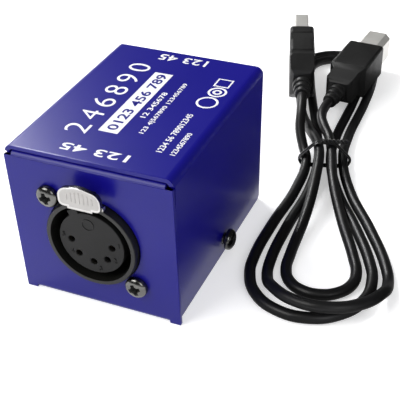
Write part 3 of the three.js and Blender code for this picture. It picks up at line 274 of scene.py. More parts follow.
# noise on the piece's own coordinates
def addNoise(tree, scale, detail, roughness=0.5):
    coordinates = tree.nodes.new("ShaderNodeTexCoord")
    noise = tree.nodes.new("ShaderNodeTexNoise")
    noise.inputs["Detail"].default_value = detail
    noise.inputs["Roughness"].default_value = roughness
    tree.links.new(scale, noise.inputs["Scale"])
    tree.links.new(coordinates.outputs["Object"], noise.inputs["Vector"])
    return noise.outputs["Fac"]


# two close tints in soft clouds
def makeBlotches():
    group, start, end = newGroup(
        "blotches",
        [("Tint", "NodeSocketColor"), ("Other Tint", "NodeSocketColor"), ("Scale", "NodeSocketFloat")],
        [("Color", "NodeSocketColor")])
    cloud = addNoise(group, start.outputs["Scale"], effects["cloudDetail"])
    ramp = group.nodes.new("ShaderNodeValToRGB")
    for element, position in zip(ramp.color_ramp.elements, effects["cloudRamp"]):
        element.position = position
    mix = group.nodes.new("ShaderNodeMix")
    mix.data_type = "RGBA"
    group.links.new(cloud, ramp.inputs["Fac"])
    group.links.new(ramp.outputs["Color"], mix.inputs[0])
    group.links.new(start.outputs["Tint"], mix.inputs[6])            # its colour sockets
    group.links.new(start.outputs["Other Tint"], mix.inputs[7])
    group.links.new(mix.outputs[2], end.inputs["Color"])
    return group


# height of a fine skin: coarse waves and fine pits
def makeGrain():
    group, start, end = newGroup(
        "grain",
        [("Wave Scale", "NodeSocketFloat"), ("Pit Scale", "NodeSocketFloat"),
         ("Pit Share", "NodeSocketFloat")],
        [("Height", "NodeSocketFloat")])
    wave = addNoise(group, start.outputs["Wave Scale"], effects["waveDetail"])
    pits = addNoise(group, start.outputs["Pit Scale"], effects["pitDetail"])
    mix = group.nodes.new("ShaderNodeMix")
    group.links.new(start.outputs["Pit Share"], mix.inputs[0])
    group.links.new(wave, mix.inputs[2])
    group.links.new(pits, mix.inputs[3])
    group.links.new(mix.outputs[0], end.inputs["Height"])
    return group


# roughness that wanders between two values, as on a handled surface
def makeHandling():
    group, start, end = newGroup(
        "handling",
        [("Smooth", "NodeSocketFloat"), ("Rough", "NodeSocketFloat"), ("Scale", "NodeSocketFloat")],
        [("Roughness", "NodeSocketFloat")])
    cloud = addNoise(group, start.outputs["Scale"], effects["touchDetail"], effects["touchBreak"])
    spread = group.nodes.new("ShaderNodeMapRange")
    for label, value in zip(("From Min", "From Max"), effects["touchRange"]):
        spread.inputs[label].default_value = value
    group.links.new(cloud, spread.inputs["Value"])
    group.links.new(start.outputs["Smooth"], spread.inputs["To Min"])
    group.links.new(start.outputs["Rough"], spread.inputs["To Max"])
    group.links.new(spread.outputs["Result"], end.inputs["Roughness"])
    return group


blotches = makeBlotches()
grain = makeGrain()
handling = makeHandling()


# a shared effect in a material, with its own values
def useGroup(tree, group, **values):
    node = tree.nodes.new("ShaderNodeGroup")
    node.node_tree = group
    for label, value in values.items():
        node.inputs[label.replace("_", " ")].default_value = value
    return node


# a material from one dictionary: two tints, the roughness between two values, its grain's two scales and
# their mix, the bump's strength and depth in metres, and plain sockets
def makeFinish(name, look):
    material = bpy.data.materials.new(name)
    material.use_nodes = True
    tree = material.node_tree
    shader = tree.nodes["Principled BSDF"]
    for label, value in look.get("plain", {}).items():
        shader.inputs[label].default_value = value
    smooth, rough = look["roughness"]
    wave, pit, pitShare = look["grain"]
    tint = useGroup(tree, blotches, Tint=(*look["tint"], 1), Other_Tint=(*look["otherTint"], 1),
                    Scale=look.get("cloud", effects["cloud"]))
    gloss = useGroup(tree, handling, Smooth=smooth, Rough=rough, Scale=look.get("touch", effects["touch"]))
    skin = useGroup(tree, grain, Wave_Scale=wave, Pit_Scale=pit, Pit_Share=pitShare)
    bump = tree.nodes.new("ShaderNodeBump")
    for label, value in zip(("Strength", "Distance"), look["bump"]):
        bump.inputs[label].default_value = value
    tree.links.new(tint.outputs["Color"], shader.inputs["Base Color"])
    tree.links.new(gloss.outputs["Roughness"], shader.inputs["Roughness"])
    tree.links.new(skin.outputs["Height"], bump.inputs["Height"])
    tree.links.new(bump.outputs["Normal"], shader.inputs["Normal"])
    return material


finishes = {
    "bluePaint": {
        "tint": (0.004, 0.003, 0.175), "otherTint": (0.006, 0.004, 0.19), "cloud": 45,
        "roughness": (0.28, 0.295), "touch": 40,
        "grain": (300, 900, 0.15), "bump": (0.2, 0.00004),
        "plain": {"Specular IOR Level": 0.3},
    },
    "blackPlastic": {
        "tint": (0.0045, 0.0045, 0.004), "otherTint": (0.007, 0.007, 0.006),
        "roughness": (0.34, 0.44), "grain": (900, 4000, 0.5), "bump": (0.2, 0.0001),
        "plain": {"Specular IOR Level": 0.4},
    },
    "insertPlastic": {
        "tint": (0.0045, 0.0045, 0.0045), "otherTint": (0.007, 0.007, 0.007),
        "roughness": (0.42, 0.52), "grain": (1200, 5000, 0.6), "bump": (0.25, 0.0001),
        "plain": {"Specular IOR Level": 0.22},
    },
    "contactGold": {
        "tint": (0.78, 0.56, 0.24), "otherTint": (0.7, 0.48, 0.2),
        "roughness": (0.22, 0.34), "grain": (900, 4000, 0.5), "bump": (0.1, 0.0001),
        "plain": {"Metallic": 1.0},
    },
    "satinNickel": {
        "tint": (0.56, 0.55, 0.54), "otherTint": (0.51, 0.5, 0.49), "cloud": 200,
        "roughness": (0.26, 0.38), "touch": 260, "grain": (1500, 6000, 0.5), "bump": (0.25, 0.0001),
        "plain": {"Metallic": 1.0},
    },
    # the satin nickel made darker: painted shade on the latch's sunk panel and ridges
    "shadedPanelNickel": {
        "tint": (0.41, 0.4, 0.385), "otherTint": (0.36, 0.35, 0.34), "cloud": 200,
        "roughness": (0.26, 0.38), "touch": 260, "grain": (1500, 6000, 0.5), "bump": (0.25, 0.0001),
        "plain": {"Metallic": 1.0},
    },
    "springSteel": {
        "tint": (0.55, 0.55, 0.54), "otherTint": (0.45, 0.45, 0.45),
        "roughness": (0.25, 0.4), "grain": (2000, 6000, 0.5), "bump": (0.1, 0.0001),
        "plain": {"Metallic": 1.0},
    },
    # black nickel of the screws; on the latch plate's sides and back it is painted shade
    "blackNickelAndShade": {
        "tint": (0.12, 0.12, 0.115), "otherTint": (0.17, 0.167, 0.16), "cloud": 260,
        "roughness": (0.17, 0.25), "touch": 300, "grain": (1500, 6000, 0.5), "bump": (0.15, 0.0001),
        "plain": {"Metallic": 1.0},
    },
    # near-black finish: painted shade in the screws' recesses
    "paintedRecessShade": {
        "tint": (0.012, 0.012, 0.012), "otherTint": (0.02, 0.02, 0.02),
        "roughness": (0.55, 0.7), "grain": (1500, 6000, 0.5), "bump": (0.15, 0.0001),
        "plain": {"Specular IOR Level": 0.2},
    },
    "boardLaminate": {
        "tint": (0.012, 0.11, 0.035), "otherTint": (0.02, 0.15, 0.05), "cloud": 300,
        "roughness": (0.28, 0.4), "grain": (1400, 3000, 0.4), "bump": (0.2, 0.0001),
    },
    "plugSteel": {
        "tint": (0.72, 0.71, 0.68), "otherTint": (0.66, 0.65, 0.62), "cloud": 160,
        "roughness": (0.3, 0.42), "touch": 240, "grain": (1200, 6000, 0.5), "bump": (0.15, 0.0001),
        "plain": {"Metallic": 0.6},
    },
    "leadTin": {
        "tint": (0.66, 0.66, 0.65), "otherTint": (0.58, 0.58, 0.57), "cloud": 400,
        "roughness": (0.26, 0.4), "grain": (1500, 6000, 0.5), "bump": (0.15, 0.0001),
        "plain": {"Metallic": 1.0},
    },
    "whitePlastic": {
        "tint": (0.72, 0.71, 0.66), "otherTint": (0.66, 0.65, 0.6),
        "roughness": (0.4, 0.5), "grain": (900, 4000, 0.5), "bump": (0.2, 0.0001),
    },
    "chipEpoxy": {
        "tint": (0.015, 0.015, 0.016), "otherTint": (0.026, 0.026, 0.027), "cloud": 900,
        "roughness": (0.5, 0.65), "grain": (2500, 6000, 0.6), "bump": (0.4, 0.0001),
    },
    "canAluminium": {
        "tint": (0.7, 0.7, 0.7), "otherTint": (0.6, 0.6, 0.6),
        "roughness": (0.25, 0.38), "grain": (1500, 5000, 0.5), "bump": (0.15, 0.0001),
        "plain": {"Metallic": 1.0},
    },
    "fuseLacquer": {
        "tint": (0.05, 0.17, 0.06), "otherTint": (0.08, 0.22, 0.09),
        "roughness": (0.35, 0.5), "grain": (1500, 5000, 0.5), "bump": (0.2, 0.0001),
    },
    "cordRubber": {
        "tint": (0.004, 0.004, 0.004), "otherTint": (0.007, 0.007, 0.008), "cloud": 80,
        "roughness": (0.36, 0.46), "touch": 150, "grain": (600, 3500, 0.5), "bump": (0.3, 0.0001),
        "plain": {"Specular IOR Level": 0.34},
    },
    "plugRubber": {
        "tint": (0.004, 0.004, 0.004), "otherTint": (0.007, 0.007, 0.007), "cloud": 150,
        "roughness": (0.42, 0.55), "touch": 200, "grain": (1500, 5000, 0.6), "bump": (0.4, 0.0001),
        "plain": {"Specular IOR Level": 0.36},
    },
    "tiePlastic": {
        "tint": (0.01, 0.01, 0.01), "otherTint": (0.018, 0.018, 0.018), "cloud": 300,
        "roughness": (0.28, 0.4), "grain": (1200, 4000, 0.5), "bump": (0.3, 0.0001),
    },
    "whiteInk": {
        "tint": (0.78, 0.78, 0.79), "otherTint": (0.7, 0.7, 0.72), "cloud": 500,
        "roughness": (0.35, 0.45), "grain": (900, 4000, 0.5), "bump": (0.15, 0.0001),
    },
}
materials = {name: makeFinish(name, look) for name, look in finishes.items()}

slotFinish = {
    "blue_paint": "bluePaint", "black_plastic": "blackPlastic", "insert_plastic": "insertPlastic",
    "contact_gold": "contactGold", "satin_nickel": "satinNickel", "spring_steel": "springSteel",
    "black_nickel": "blackNickelAndShade", "board_laminate": "boardLaminate", "plug_steel": "plugSteel",
    "white_plastic": "whitePlastic", "chip_black": "chipEpoxy", "can_aluminium": "canAluminium",
    "fuse_body": "fuseLacquer", "cord_rubber": "cordRubber", "plug_rubber": "plugRubber",
    "tie_plastic": "tiePlastic",
}
for part in frame["record"]["subparts"]:
    data = nodes[part["node"]].data
    data.materials.clear()
    data.materials.append(materials[slotFinish[part["material_slot"]]])
print("finishes ready:", len(materials))

# modelling helpers
mergeGap = 0.002         # mm
flatAngle = 1            # degrees; flatter edges are dissolved
wireRound = 2            # steps in a wire's roundness


def clearPick():
    if bpy.context.object and bpy.context.object.mode != "OBJECT":
        bpy.ops.object.mode_set(mode="OBJECT")
    bpy.ops.object.select_all(action="DESELECT")


def pick(*pieces):
    clearPick()
    for piece in pieces:
        piece.select_set(True)
    bpy.context.view_layer.objects.active = pieces[-1]


# the piece's place goes into its mesh
def settle(piece):
    pick(piece)
    bpy.ops.object.transform_apply(location=True, rotation=True, scale=True)
    return piece


def modify(piece, kind, **values):
    pick(piece)
    bpy.ops.object.modifier_add(type=kind)
    modifier = piece.modifiers[-1]
    for label, value in values.items():
        setattr(modifier, label, value)
    bpy.ops.object.modifier_apply(modifier=modifier.name)
    return piece


# rounds the sharp edges that are not shorter than shortest, all in mm
def soften(piece, width, steps=2, limit=50, crease=35, shortest=0):
    pick(piece)
    bpy.ops.object.mode_set(mode="EDIT")
    bpy.ops.mesh.select_mode(type="EDGE")
    bpy.ops.mesh.select_all(action="DESELECT")
    bpy.ops.mesh.edges_select_sharp(sharpness=math.radians(limit))
    edit = bmesh.from_edit_mesh(piece.data)
    for edge in edit.edges:
        if edge.select and edge.calc_length() < shortest * mm:
            edge.select_set(False)
    bmesh.update_edit_mesh(piece.data)
    bpy.ops.mesh.bevel(offset=width * mm, segments=steps, affect="EDGES", clamp_overlap=False)
    bpy.ops.object.mode_set(mode="OBJECT")
    bpy.ops.object.shade_smooth_by_angle(angle=math.radians(crease))
    return modify(piece, "WEIGHTED_NORMAL", keep_sharp=True)


def cutAway(piece, *tools):
    for tool in tools:
        modify(piece, "BOOLEAN", object=tool, operation="DIFFERENCE", solver="EXACT",
               material_mode="TRANSFER")
        bpy.data.objects.remove(tool)
    return piece


def joinAll(name, pieces):
    pick(*pieces)
    if len(pieces) > 1:
        bpy.ops.object.join()
    joinedPiece = bpy.context.object
    joinedPiece.name = name
    return joinedPiece


# faces turned towards a direction, whose middle passes a test
def selectFaces(piece, direction, test=lambda middle: True, closeness=0.99):
    pick(piece)
    bpy.ops.object.mode_set(mode="EDIT")
    bpy.ops.mesh.select_all(action="DESELECT")
    bpy.ops.mesh.select_mode(type="FACE")
    edit = bmesh.from_edit_mesh(piece.data)
    for face in edit.faces:
        if face.normal.dot(Vector(direction)) > closeness and test(face.calc_center_median() / mm):
            face.select_set(True)
    edit.select_flush(True)
    bmesh.update_edit_mesh(piece.data)


def block(low, high):
    middle = [(a + b) / 2 * mm for a, b in zip(low, high)]
    bpy.ops.mesh.primitive_cube_add(size=1, location=middle)
    made = bpy.context.object
    made.scale = [(b - a) * mm for a, b in zip(low, high)]
    return settle(made)


def paint(piece, finish):
    piece.data.materials.clear()
    piece.data.materials.append(materials[finish])
    return piece


# another finish on the faces whose middle passes a test
def tintWhere(piece, finish, test):
    piece.data.materials.append(materials[finish])
    for face in piece.data.polygons:
        if test(face.center / mm):
            face.material_index = len(piece.data.materials) - 1
    return piece


# without a finish a piece keeps the materials it was modelled with
def wear(piece, finish, slotName, *replaced, body="box"):
    if finish:
        paint(piece, finish)
    if replaced:
        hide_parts(*replaced)
    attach(piece, body)
    return piece


def twin(piece, name):
    made = bpy.data.objects.new(name, piece.data.copy())
    scene.collection.objects.link(made)
    return made


# a copy of a solid with its loose faces merged, ready for rounded edges
def copyOf(node, name):
    piece = bpy.data.objects.new(name, nodes[node].data.copy())
    scene.collection.objects.link(piece)
    pick(piece)
    bpy.ops.object.mode_set(mode="EDIT")
    bpy.ops.mesh.select_all(action="SELECT")
    bpy.ops.mesh.remove_doubles(threshold=mergeGap * mm)
    bpy.ops.mesh.dissolve_limited(angle_limit=math.radians(flatAngle))
    bpy.ops.object.mode_set(mode="OBJECT")
    return piece


# a line through points of two or three numbers, in mm
def lineCurve(name, points, closed, dimensions="3D"):
    data = bpy.data.curves.new(name, "CURVE")
    data.dimensions = dimensions
    line = data.splines.new("POLY")
    line.points.add(len(points) - 1)
    for knot, point in zip(line.points, points):
        knot.co = (*(Vector(point).to_3d() * mm), 1)
    line.use_cyclic_u = closed
    made = bpy.data.objects.new(name, data)
    scene.collection.objects.link(made)
    return made


# round wire along points, as a mesh
def wireAlong(name, points, radius):
    wire = lineCurve(name, points, False)
    wire.data.bevel_depth = radius * mm
    wire.data.bevel_resolution = wireRound
    wire.data.use_fill_caps = True
    pick(wire)
    bpy.ops.object.convert(target="MESH")
    return wire


wear(leadCord, "cordRubber", "cord_rubber", "cable_hank")

# sheet metal box: paint rounds every edge but the shortest
boxPaint = {
    "edges": {"base_tray": ("paintedTray", 0.15), "top_cover": ("paintedCover", 0.34)},
    "steps": 3,
    "shortest": 0.75,
}
for node, (name, edge) in boxPaint["edges"].items():
    painted = soften(copyOf(node, name), edge, boxPaint["steps"], shortest=boxPaint["shortest"])
    wear(painted, "bluePaint", "blue_paint", node)
print("box painted")

# round connector
socketLook = {
    "ringEdge": 0.12,
    "insertEdge": 0.2,
    "face": -27.6,       # insert's front
    "mark": (-0.35, 23.65),    # across and up
    "markRadius": 1.4,
    "markSegments": (32, 8),
    "numberHeight": 1.25,
    "raise": 0.13,
    "numbers": {         # text: place across and up
        "1": (6.83, 19.82), "2": (5.52, 15.46), "3": (1.6, 12.2), "4": (-5.21, 15.34), "5": (-6.86, 19.62),
    },
}
wear(soften(copyOf("xlr_housing", "socketBody"), socketLook["ringEdge"]), "blackPlastic", "black_plastic",
     "xlr_housing")
wear(soften(copyOf("xlr_insert", "socketInsert"), socketLook["insertEdge"]), "insertPlastic",
     "insert_plastic", "xlr_insert")


# numerals as a thin raised mesh, fitted to a width and height round a middle; run and rise are directions
def numerals(text, middle, run, rise, size, raised, bold=0.0, steps=3):
    clearPick()
    bpy.ops.object.text_add()
    made = bpy.context.object
    made.data.body = text
    made.data.offset = bold
    made.data.resolution_u = steps
    bpy.ops.object.convert(target="MESH")
    made = bpy.context.object
    modify(made, "SOLIDIFY", thickness=1, offset=0)
    bpy.ops.object.shade_flat()
    bpy.ops.object.origin_set(type="ORIGIN_GEOMETRY", center="BOUNDS")
    bpy.context.view_layer.update()
    across, tall, deep = made.dimensions
    width, height = size
    height = height or width * tall / across
    width = width or height * across / tall
    run, rise = Vector(run), Vector(rise)
    made.scale = (width * mm / across, height * mm / tall, raised * 2 * mm / deep)
    made.rotation_euler = Matrix((run, rise, run.cross(rise))).transposed().to_euler()
    made.location = Vector(middle) * mm
    return settle(made)


# a plain ring and the contacts' numbers, raised on the insert
def makeContactNumbers(look):
    around, section = look["markSegments"]
    across, up = look["mark"]
    bpy.ops.mesh.primitive_torus_add(major_segments=around, minor_segments=section,
                                     major_radius=look["markRadius"] * mm, minor_radius=look["raise"] * mm,
                                     rotation=(math.pi / 2, 0, 0),
                                     location=Vector((across, look["face"], up)) * mm)
    pieces = [settle(bpy.context.object)]
    for text, (x, z) in look["numbers"].items():
        pieces.append(numerals(text, (x, look["face"], z), (1, 0, 0), (0, 0, 1),
                               (None, look["numberHeight"]), look["raise"]))
    wear(joinAll("contactNumbers", pieces), "insertPlastic", "insert_plastic")


makeContactNumbers(socketLook)
print("connector ready")

# push latch: a raised rim and a ridged grip; the sunk panel, the ridges and the plate's sides carry painted
# shade
latchLook = {
    "front": -30.4,
    "rim": 0.42,
    "sink": 0.22,
    "reach": 0.05,          # how near the front a face of the thumb plate lies
    "panelReach": 0.02,     # the same for the sunk panel
    "edge": 0.12,
    "paintedShadeDepth": 0.25,    # behind this the plate is painted dark as shade, but for the lugs
    "lugFrom": 5.1,
    "ridges": 7,
    "ridgePitch": 1.0,
    "ridgeWidth": 0.36,
    "ridgeDrop": 0.12,
    "ridgeBack": 0.6,
    "ridgeLow": 31.0,
    "ridgeHigh": 33.8,
    "ridgeArc": 0.09,       # the outer ridges are shorter
    "ridgeEdge": 0.1,
    "ridgeSteps": 3,
}


def makeLatch(look):
    latch = copyOf("push_latch", "pushLatch")
    selectFaces(latch, (0, -1, 0), lambda middle: middle.y < look["front"] + look["reach"])
    bpy.ops.mesh.inset(thickness=look["rim"] * mm, depth=0)
    bpy.ops.transform.translate(value=(0, look["sink"] * mm, 0))
    clearPick()
    soften(latch, look["edge"])
    # the plate's sides and back, all but the lugs, get black nickel as painted shade
    tintWhere(paint(latch, "satinNickel"), "blackNickelAndShade",
              lambda p: p.y > look["front"] + look["paintedShadeDepth"] and abs(p.x) < look["lugFrom"])
    # the sunk panel gets the darker copy of the satin nickel as painted shade
    tintWhere(latch, "shadedPanelNickel", lambda p: abs(p.y - look["front"] - look["sink"]) < look["panelReach"])
    pieces = [latch]
    for ridge in range(look["ridges"]):
        away = ridge - (look["ridges"] - 1) / 2
        x = away * look["ridgePitch"]
        half = look["ridgeWidth"] / 2
        drop = look["ridgeArc"] * away * away
        bar = block((x - half, look["front"] + look["ridgeDrop"], look["ridgeLow"] + drop / 2),
                    (x + half, look["front"] + look["ridgeBack"], look["ridgeHigh"] - drop))
        # the ridges get the same painted shade as the sunk panel
        pieces.insert(0, paint(soften(bar, look["ridgeEdge"], look["ridgeSteps"]), "shadedPanelNickel"))
    return joinAll("pushLatch", pieces)


wear(makeLatch(latchLook), None, "satin_nickel", "push_latch", body="latch")
print("latch ready")

# pan screws with a crossed recess
screwLook = {
    "radius": 2.65,
    "rim": 0.7,
    "dome": 1.2,
    "domeSteps": 7,
    "domeArc": 0.93,     # share of a quarter turn
    "sides": 48,
    "slotWide": 1.0,
    "slotNarrow": 0.66,
    "span": 3.3,
    "spanDeep": 1.9,
    "depth": 1.4,
    "cutAbove": 0.4,
    "coneRadii": (0.45, 1.15),
    "coneSides": 16,
    "edge": 0.07,
    "sharp": 40,
    "shank": 1.3,
    "shankSides": 24,
    "collar": 0.3,
    "threadRoot": 0.84,  # share of the shank's radius
    "threadFlank": 0.2,
    "threadCrest": 0.1,
    "point": 1.0,        # length left without thread
    "pointShare": 0.3,
    "places": {
        # node: seat, direction the head faces, shank length, turn of the recess
        "xlr_screw_upper": ((-9.9, -26.6, 28.6), "front", 8.0, 14),
        "xlr_screw_lower": ((9.9, -26.6, 8.8), "front", 8.0, 22),
        "cover_screw_right": ((20.1, 1.6, 4.4), "right", 4.2, 33),
        "cover_screw_left": ((-20.1, 1.6, 4.4), "left", 4.2, 8),
    },
}


# head facing +Z, its seat at the origin; the recess gets a darker finish than the head, as painted shade
def makeScrewHead(look):
    bpy.ops.mesh.primitive_cylinder_add(vertices=look["sides"], radius=look["radius"] * mm,
                                        depth=look["rim"] * mm, location=(0, 0, look["rim"] / 2 * mm))
    head = paint(settle(bpy.context.object), "blackNickelAndShade")
    selectFaces(head, (0, 0, 1))
    steps, arc = look["domeSteps"], look["domeArc"]
    for step in range(1, steps + 1):
        before, after = (s / steps * math.pi / 2 * arc for s in (step - 1, step))
        rise = look["dome"] * (math.sin(after) - math.sin(before)) / math.sin(math.pi / 2 * arc)
        shrink = math.cos(after) / math.cos(before)
        bpy.ops.mesh.extrude_region_move(TRANSFORM_OT_translate={"value": (0, 0, rise * mm)})
        bpy.ops.transform.resize(value=(shrink, shrink, 1))
    clearPick()
    top = look["rim"] + look["dome"]
    above = top + look["cutAbove"]
    tools = []
    # the cutters carry the painted recess shade onto the faces they cut
    for turn in (0, 90):
        tool = block((-look["span"] / 2, -look["slotWide"] / 2, top - look["depth"]),
                     (look["span"] / 2, look["slotWide"] / 2, above))
        selectFaces(tool, (0, 0, -1))
        taper = (look["spanDeep"] / look["span"], look["slotNarrow"] / look["slotWide"], 1)
        bpy.ops.transform.resize(value=taper)
        clearPick()
        tool.rotation_euler = (0, 0, math.radians(turn))
        tools.append(paint(settle(tool), "paintedRecessShade"))
    lowRadius, highRadius = look["coneRadii"]
    deep = look["depth"] + look["cutAbove"]
    bpy.ops.mesh.primitive_cone_add(vertices=look["coneSides"], radius1=lowRadius * mm,
                                    radius2=highRadius * mm, depth=deep * mm,
                                    location=(0, 0, (above - deep / 2) * mm))
    tools.append(paint(settle(bpy.context.object), "paintedRecessShade"))
    return soften(cutAway(head, *tools), look["edge"], limit=look["sharp"], crease=look["sharp"])


# a thread as stacked ridges round the shank
def makeShank(look, length):
    collar, root, flank = look["collar"], look["threadRoot"], look["threadFlank"]
    bpy.ops.mesh.primitive_cylinder_add(vertices=look["shankSides"], radius=look["shank"] * mm,
                                        depth=collar * mm, location=(0, 0, -collar / 2 * mm))
    shank = settle(bpy.context.object)
    selectFaces(shank, (0, 0, -1))
    pitch = flank * 2 + look["threadCrest"]
    turns = int((length - look["point"]) / pitch)
    for turn in range(turns):
        for shrink, down in ((root, flank), (1 / root, flank), (1, look["threadCrest"])):
            bpy.ops.mesh.extrude_region_move(TRANSFORM_OT_translate={"value": (0, 0, -down * mm)})
            bpy.ops.transform.resize(value=(shrink, shrink, 1))
    left = length - collar - turns * pitch
    bpy.ops.mesh.extrude_region_move(TRANSFORM_OT_translate={"value": (0, 0, -left * mm)})
    bpy.ops.transform.resize(value=(look["pointShare"], look["pointShare"], 1))
    clearPick()
    return paint(shank, "blackNickelAndShade")


def makeScrews(look):
    facing = {"front": (math.pi / 2, 0, 0), "right": (0, math.pi / 2, 0), "left": (0, -math.pi / 2, 0)}
    head = makeScrewHead(look)
    lengths = {length for seat, side, length, turn in look["places"].values()}
    shanks = {length: makeShank(look, length) for length in lengths}
    for node, (seat, side, length, turn) in look["places"].items():
        screw = joinAll(node + "Pan", [twin(shanks[length], node + "Shank"), twin(head, node + "Pan")])
        screw.rotation_euler = (0, 0, math.radians(turn))
        settle(screw)
        screw.rotation_euler = facing[side]
        screw.location = Vector(seat) * mm
        wear(settle(screw), None, "black_nickel", node)
    for spare in (head, *shanks.values()):
        bpy.data.objects.remove(spare)


makeScrews(screwLook)
print("screws ready")

# solids whose shape is right, with their edges rounded: piece and edge
roundedSolids = {
    "circuit_board": ("boardPlate", 0.1),
    "usb_socket_shell": ("squareSocketShell", 0.1),
    "usb_socket_housing": ("squareSocketHousing", 0.15),
    "crystal_can": ("crystalCan", 0.3),
    "flat_plug_body": ("flatPlugBody", 0.22),
    "flat_plug_shell": ("flatPlugShell", 0.09),
    "flat_plug_insert": ("flatPlugInsert", 0.12),
    "square_plug_body": ("squarePlugBody", 0.24),
    "square_plug_shell": ("squarePlugShell", 0.09),
    "square_plug_insert": ("squarePlugInsert", 0.12),
}
for number in range(1, 6):
    roundedSolids[f"xlr_contact_{number}"] = (f"roundContact{number}", 0.08)
for number in range(1, 5):
    roundedSolids[f"usb_socket_contact_{number}"] = (f"socketStrip{number}", 0.06)
    roundedSolids[f"flat_plug_contact_{number}"] = (f"plugStrip{number}", 0.06)
slotOf = {part["node"]: part["material_slot"] for part in frame["record"]["subparts"]}
for node, (name, edge) in roundedSolids.items():
    wear(soften(copyOf(node, name), edge), slotFinish[slotOf[node]], slotOf[node], node)
print("solids rounded:", len(roundedSolids))


# spring behind the latch, a plain coil; the real one is pressed flatter as the latch goes in
springLook = {
    "coil": 0.9,
    "wire": 0.2,
    "turns": 5,
    "steps": 16,         # in a turn
    "keep": 0.69,        # share of its length left with the latch pressed
    "crease": 60,
}


def makeSpring(look):
    low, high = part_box("latch_spring")
    x, z = (low[0] + high[0]) / 2 / mm, (low[2] + high[2]) / 2 / mm
    front, back = low[1] / mm + look["wire"], high[1] / mm - look["wire"]
    count = look["turns"] * look["steps"]
    points = [(x + look["coil"] * math.cos(math.tau * step / look["steps"]),
               front + (back - front) * step / count,
               z + look["coil"] * math.sin(math.tau * step / look["steps"])) for step in range(count + 1)]
    spring = wireAlong("latchCoil", points, look["wire"])
    bpy.ops.object.shade_smooth_by_angle(angle=math.radians(look["crease"]))
    wear(spring, "springSteel", "spring_steel", "latch_spring")
    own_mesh(spring)


makeSpring(springLook)
print("spring ready")

# small parts on the board: bodies in one finish, leads, caps and feet in another, plain numbers on top
boardLook = {
    "edge": 0.07,
    "parts": {
        # node: piece, the other finish, where it shows
        "bridge_chip": ("bridgeChip", "leadTin", lambda p: abs(p.y - 0.6) > 2.66),
        "line_driver_chip": ("driverChip", "leadTin", lambda p: abs(p.x + 10.2) > 1.96),
        "fuse": ("fuseBlock", "leadTin", lambda p: abs(p.y - 0.8) > 1.44),
        "supply_capacitor": ("supplyCan", "blackPlastic", lambda p: p.z < 6.52),
        "input_capacitor": ("inputCan", "blackPlastic", lambda p: p.z < 6.52),
    },
    "numberRaise": 0.02,
    "numbers": {
        # text: middle, run, rise, height
        "12345": ((0, 0.6, 7.4), (1, 0, 0), (0, 1, 0), 1.3),
        "678": ((-10.2, 17, 7.1), (0, 1, 0), (-1, 0, 0), 1.2),
        "90": ((-10.4, 8.4, 11.0), (1, 0, 0), (0, 1, 0), 1.6),
        "21": ((11, 6.6, 10.8), (1, 0, 0), (0, 1, 0), 1.3),
        "34": ((10.4, 16.4, 9.0), (0, 1, 0), (-1, 0, 0), 1.5),
        "5": ((10.6, 0.8, 6.35), (0, 1, 0), (-1, 0, 0), 1.1),
    },
}


def makeBoardParts(look):
    for node, (name, finish, test) in look["parts"].items():
        piece = paint(soften(copyOf(node, name), look["edge"]), slotFinish[slotOf[node]])
        wear(tintWhere(piece, finish, test), None, slotOf[node], node)
    numbers = [numerals(text, middle, run, rise, (None, height), look["numberRaise"])
               for text, (middle, run, rise, height) in look["numbers"].items()]
    wear(joinAll("boardNumbers", numbers), "whiteInk", None)


makeBoardParts(boardLook)
print("board ready")

# tie: a flat band with a wire in it round the strands, its ends twisted together
tieLook = {
    "round": 1.93,       # middle of the band from a strand's middle
    "steps": 7,          # to a rounded corner
    # the band's outer side, across and out; its inner side is the same, mirrored
    "halfBand": ((-0.95, 0.1), (-0.45, 0.14), (-0.28, 0.34), (0, 0.42), (0.28, 0.34), (0.45, 0.14),
                 (0.95, 0.1)),
    "strand": 0.36,
    "twistRadius": 0.38,
    "twistTurns": 3.5,
    "twistSteps": 48,
    "crease": 40,
    "tailStart": 1.2,
    "tailLength": 7.6,
    "tailHeight": 8.55,
}


def makeTie(look):
    low = floorHeight(0)
    high = low + lead["layerPitch"]
    outline = []
    # each corner strand's place, and the angles between which the band goes round it
    for side, height, start, end in ((outerSlot, low, -90, 45), (innerSlot, high, 45, 90),
                                     (-innerSlot, high, 90, 135), (-outerSlot, low, 135, 270)):
        for step in range(look["steps"] + 1):
            angle = math.radians(start + (end - start) * step / look["steps"])
            outline.append((side + look["round"] * math.cos(angle), height + look["round"] * math.sin(angle)))
    half = look["halfBand"]
    section = lineCurve("bandSection", [(v, u) for u, v in half] + [(-v, u) for u, v in reversed(half)],
                        True, "2D")
    band = lineCurve("tieBand", outline, True, "2D")
    band.data.bevel_mode = "OBJECT"
    band.data.bevel_object = section
    pick(band)
    bpy.ops.object.convert(target="MESH")
    bpy.data.objects.remove(section)
    band.matrix_world = hankPlace @ Matrix(((0, 0, 1), (1, 0, 0), (0, 1, 0))).to_4x4()
    settle(band)
    count = look["twistSteps"]
    twist = [(look["twistRadius"] * math.cos(math.tau * look["twistTurns"] * step / count),
              -look["tailLength"] * step / count,
              look["twistRadius"] * math.sin(math.tau * look["twistTurns"] * step / count))
             for step in range(count + 1)]
    strand = wireAlong("tieStrand", twist, look["strand"])
    other = twin(strand, "tieOtherStrand")
    other.rotation_euler = (0, math.pi, 0)
    settle(other)
    tail = joinAll("tieTail", [strand, other])
    tailPlace = Vector((0, look["tailStart"], look["tailHeight"])) * mm
    tail.matrix_world = hankPlace @ Matrix.Translation(tailPlace)
    tie = joinAll("wireTie", [settle(tail), band])
    bpy.ops.object.shade_smooth_by_angle(angle=math.radians(look["crease"]))
    return tie


wear(makeTie(tieLook), "tiePlastic", "tie_plastic", "cable_tie")
print("tie ready")

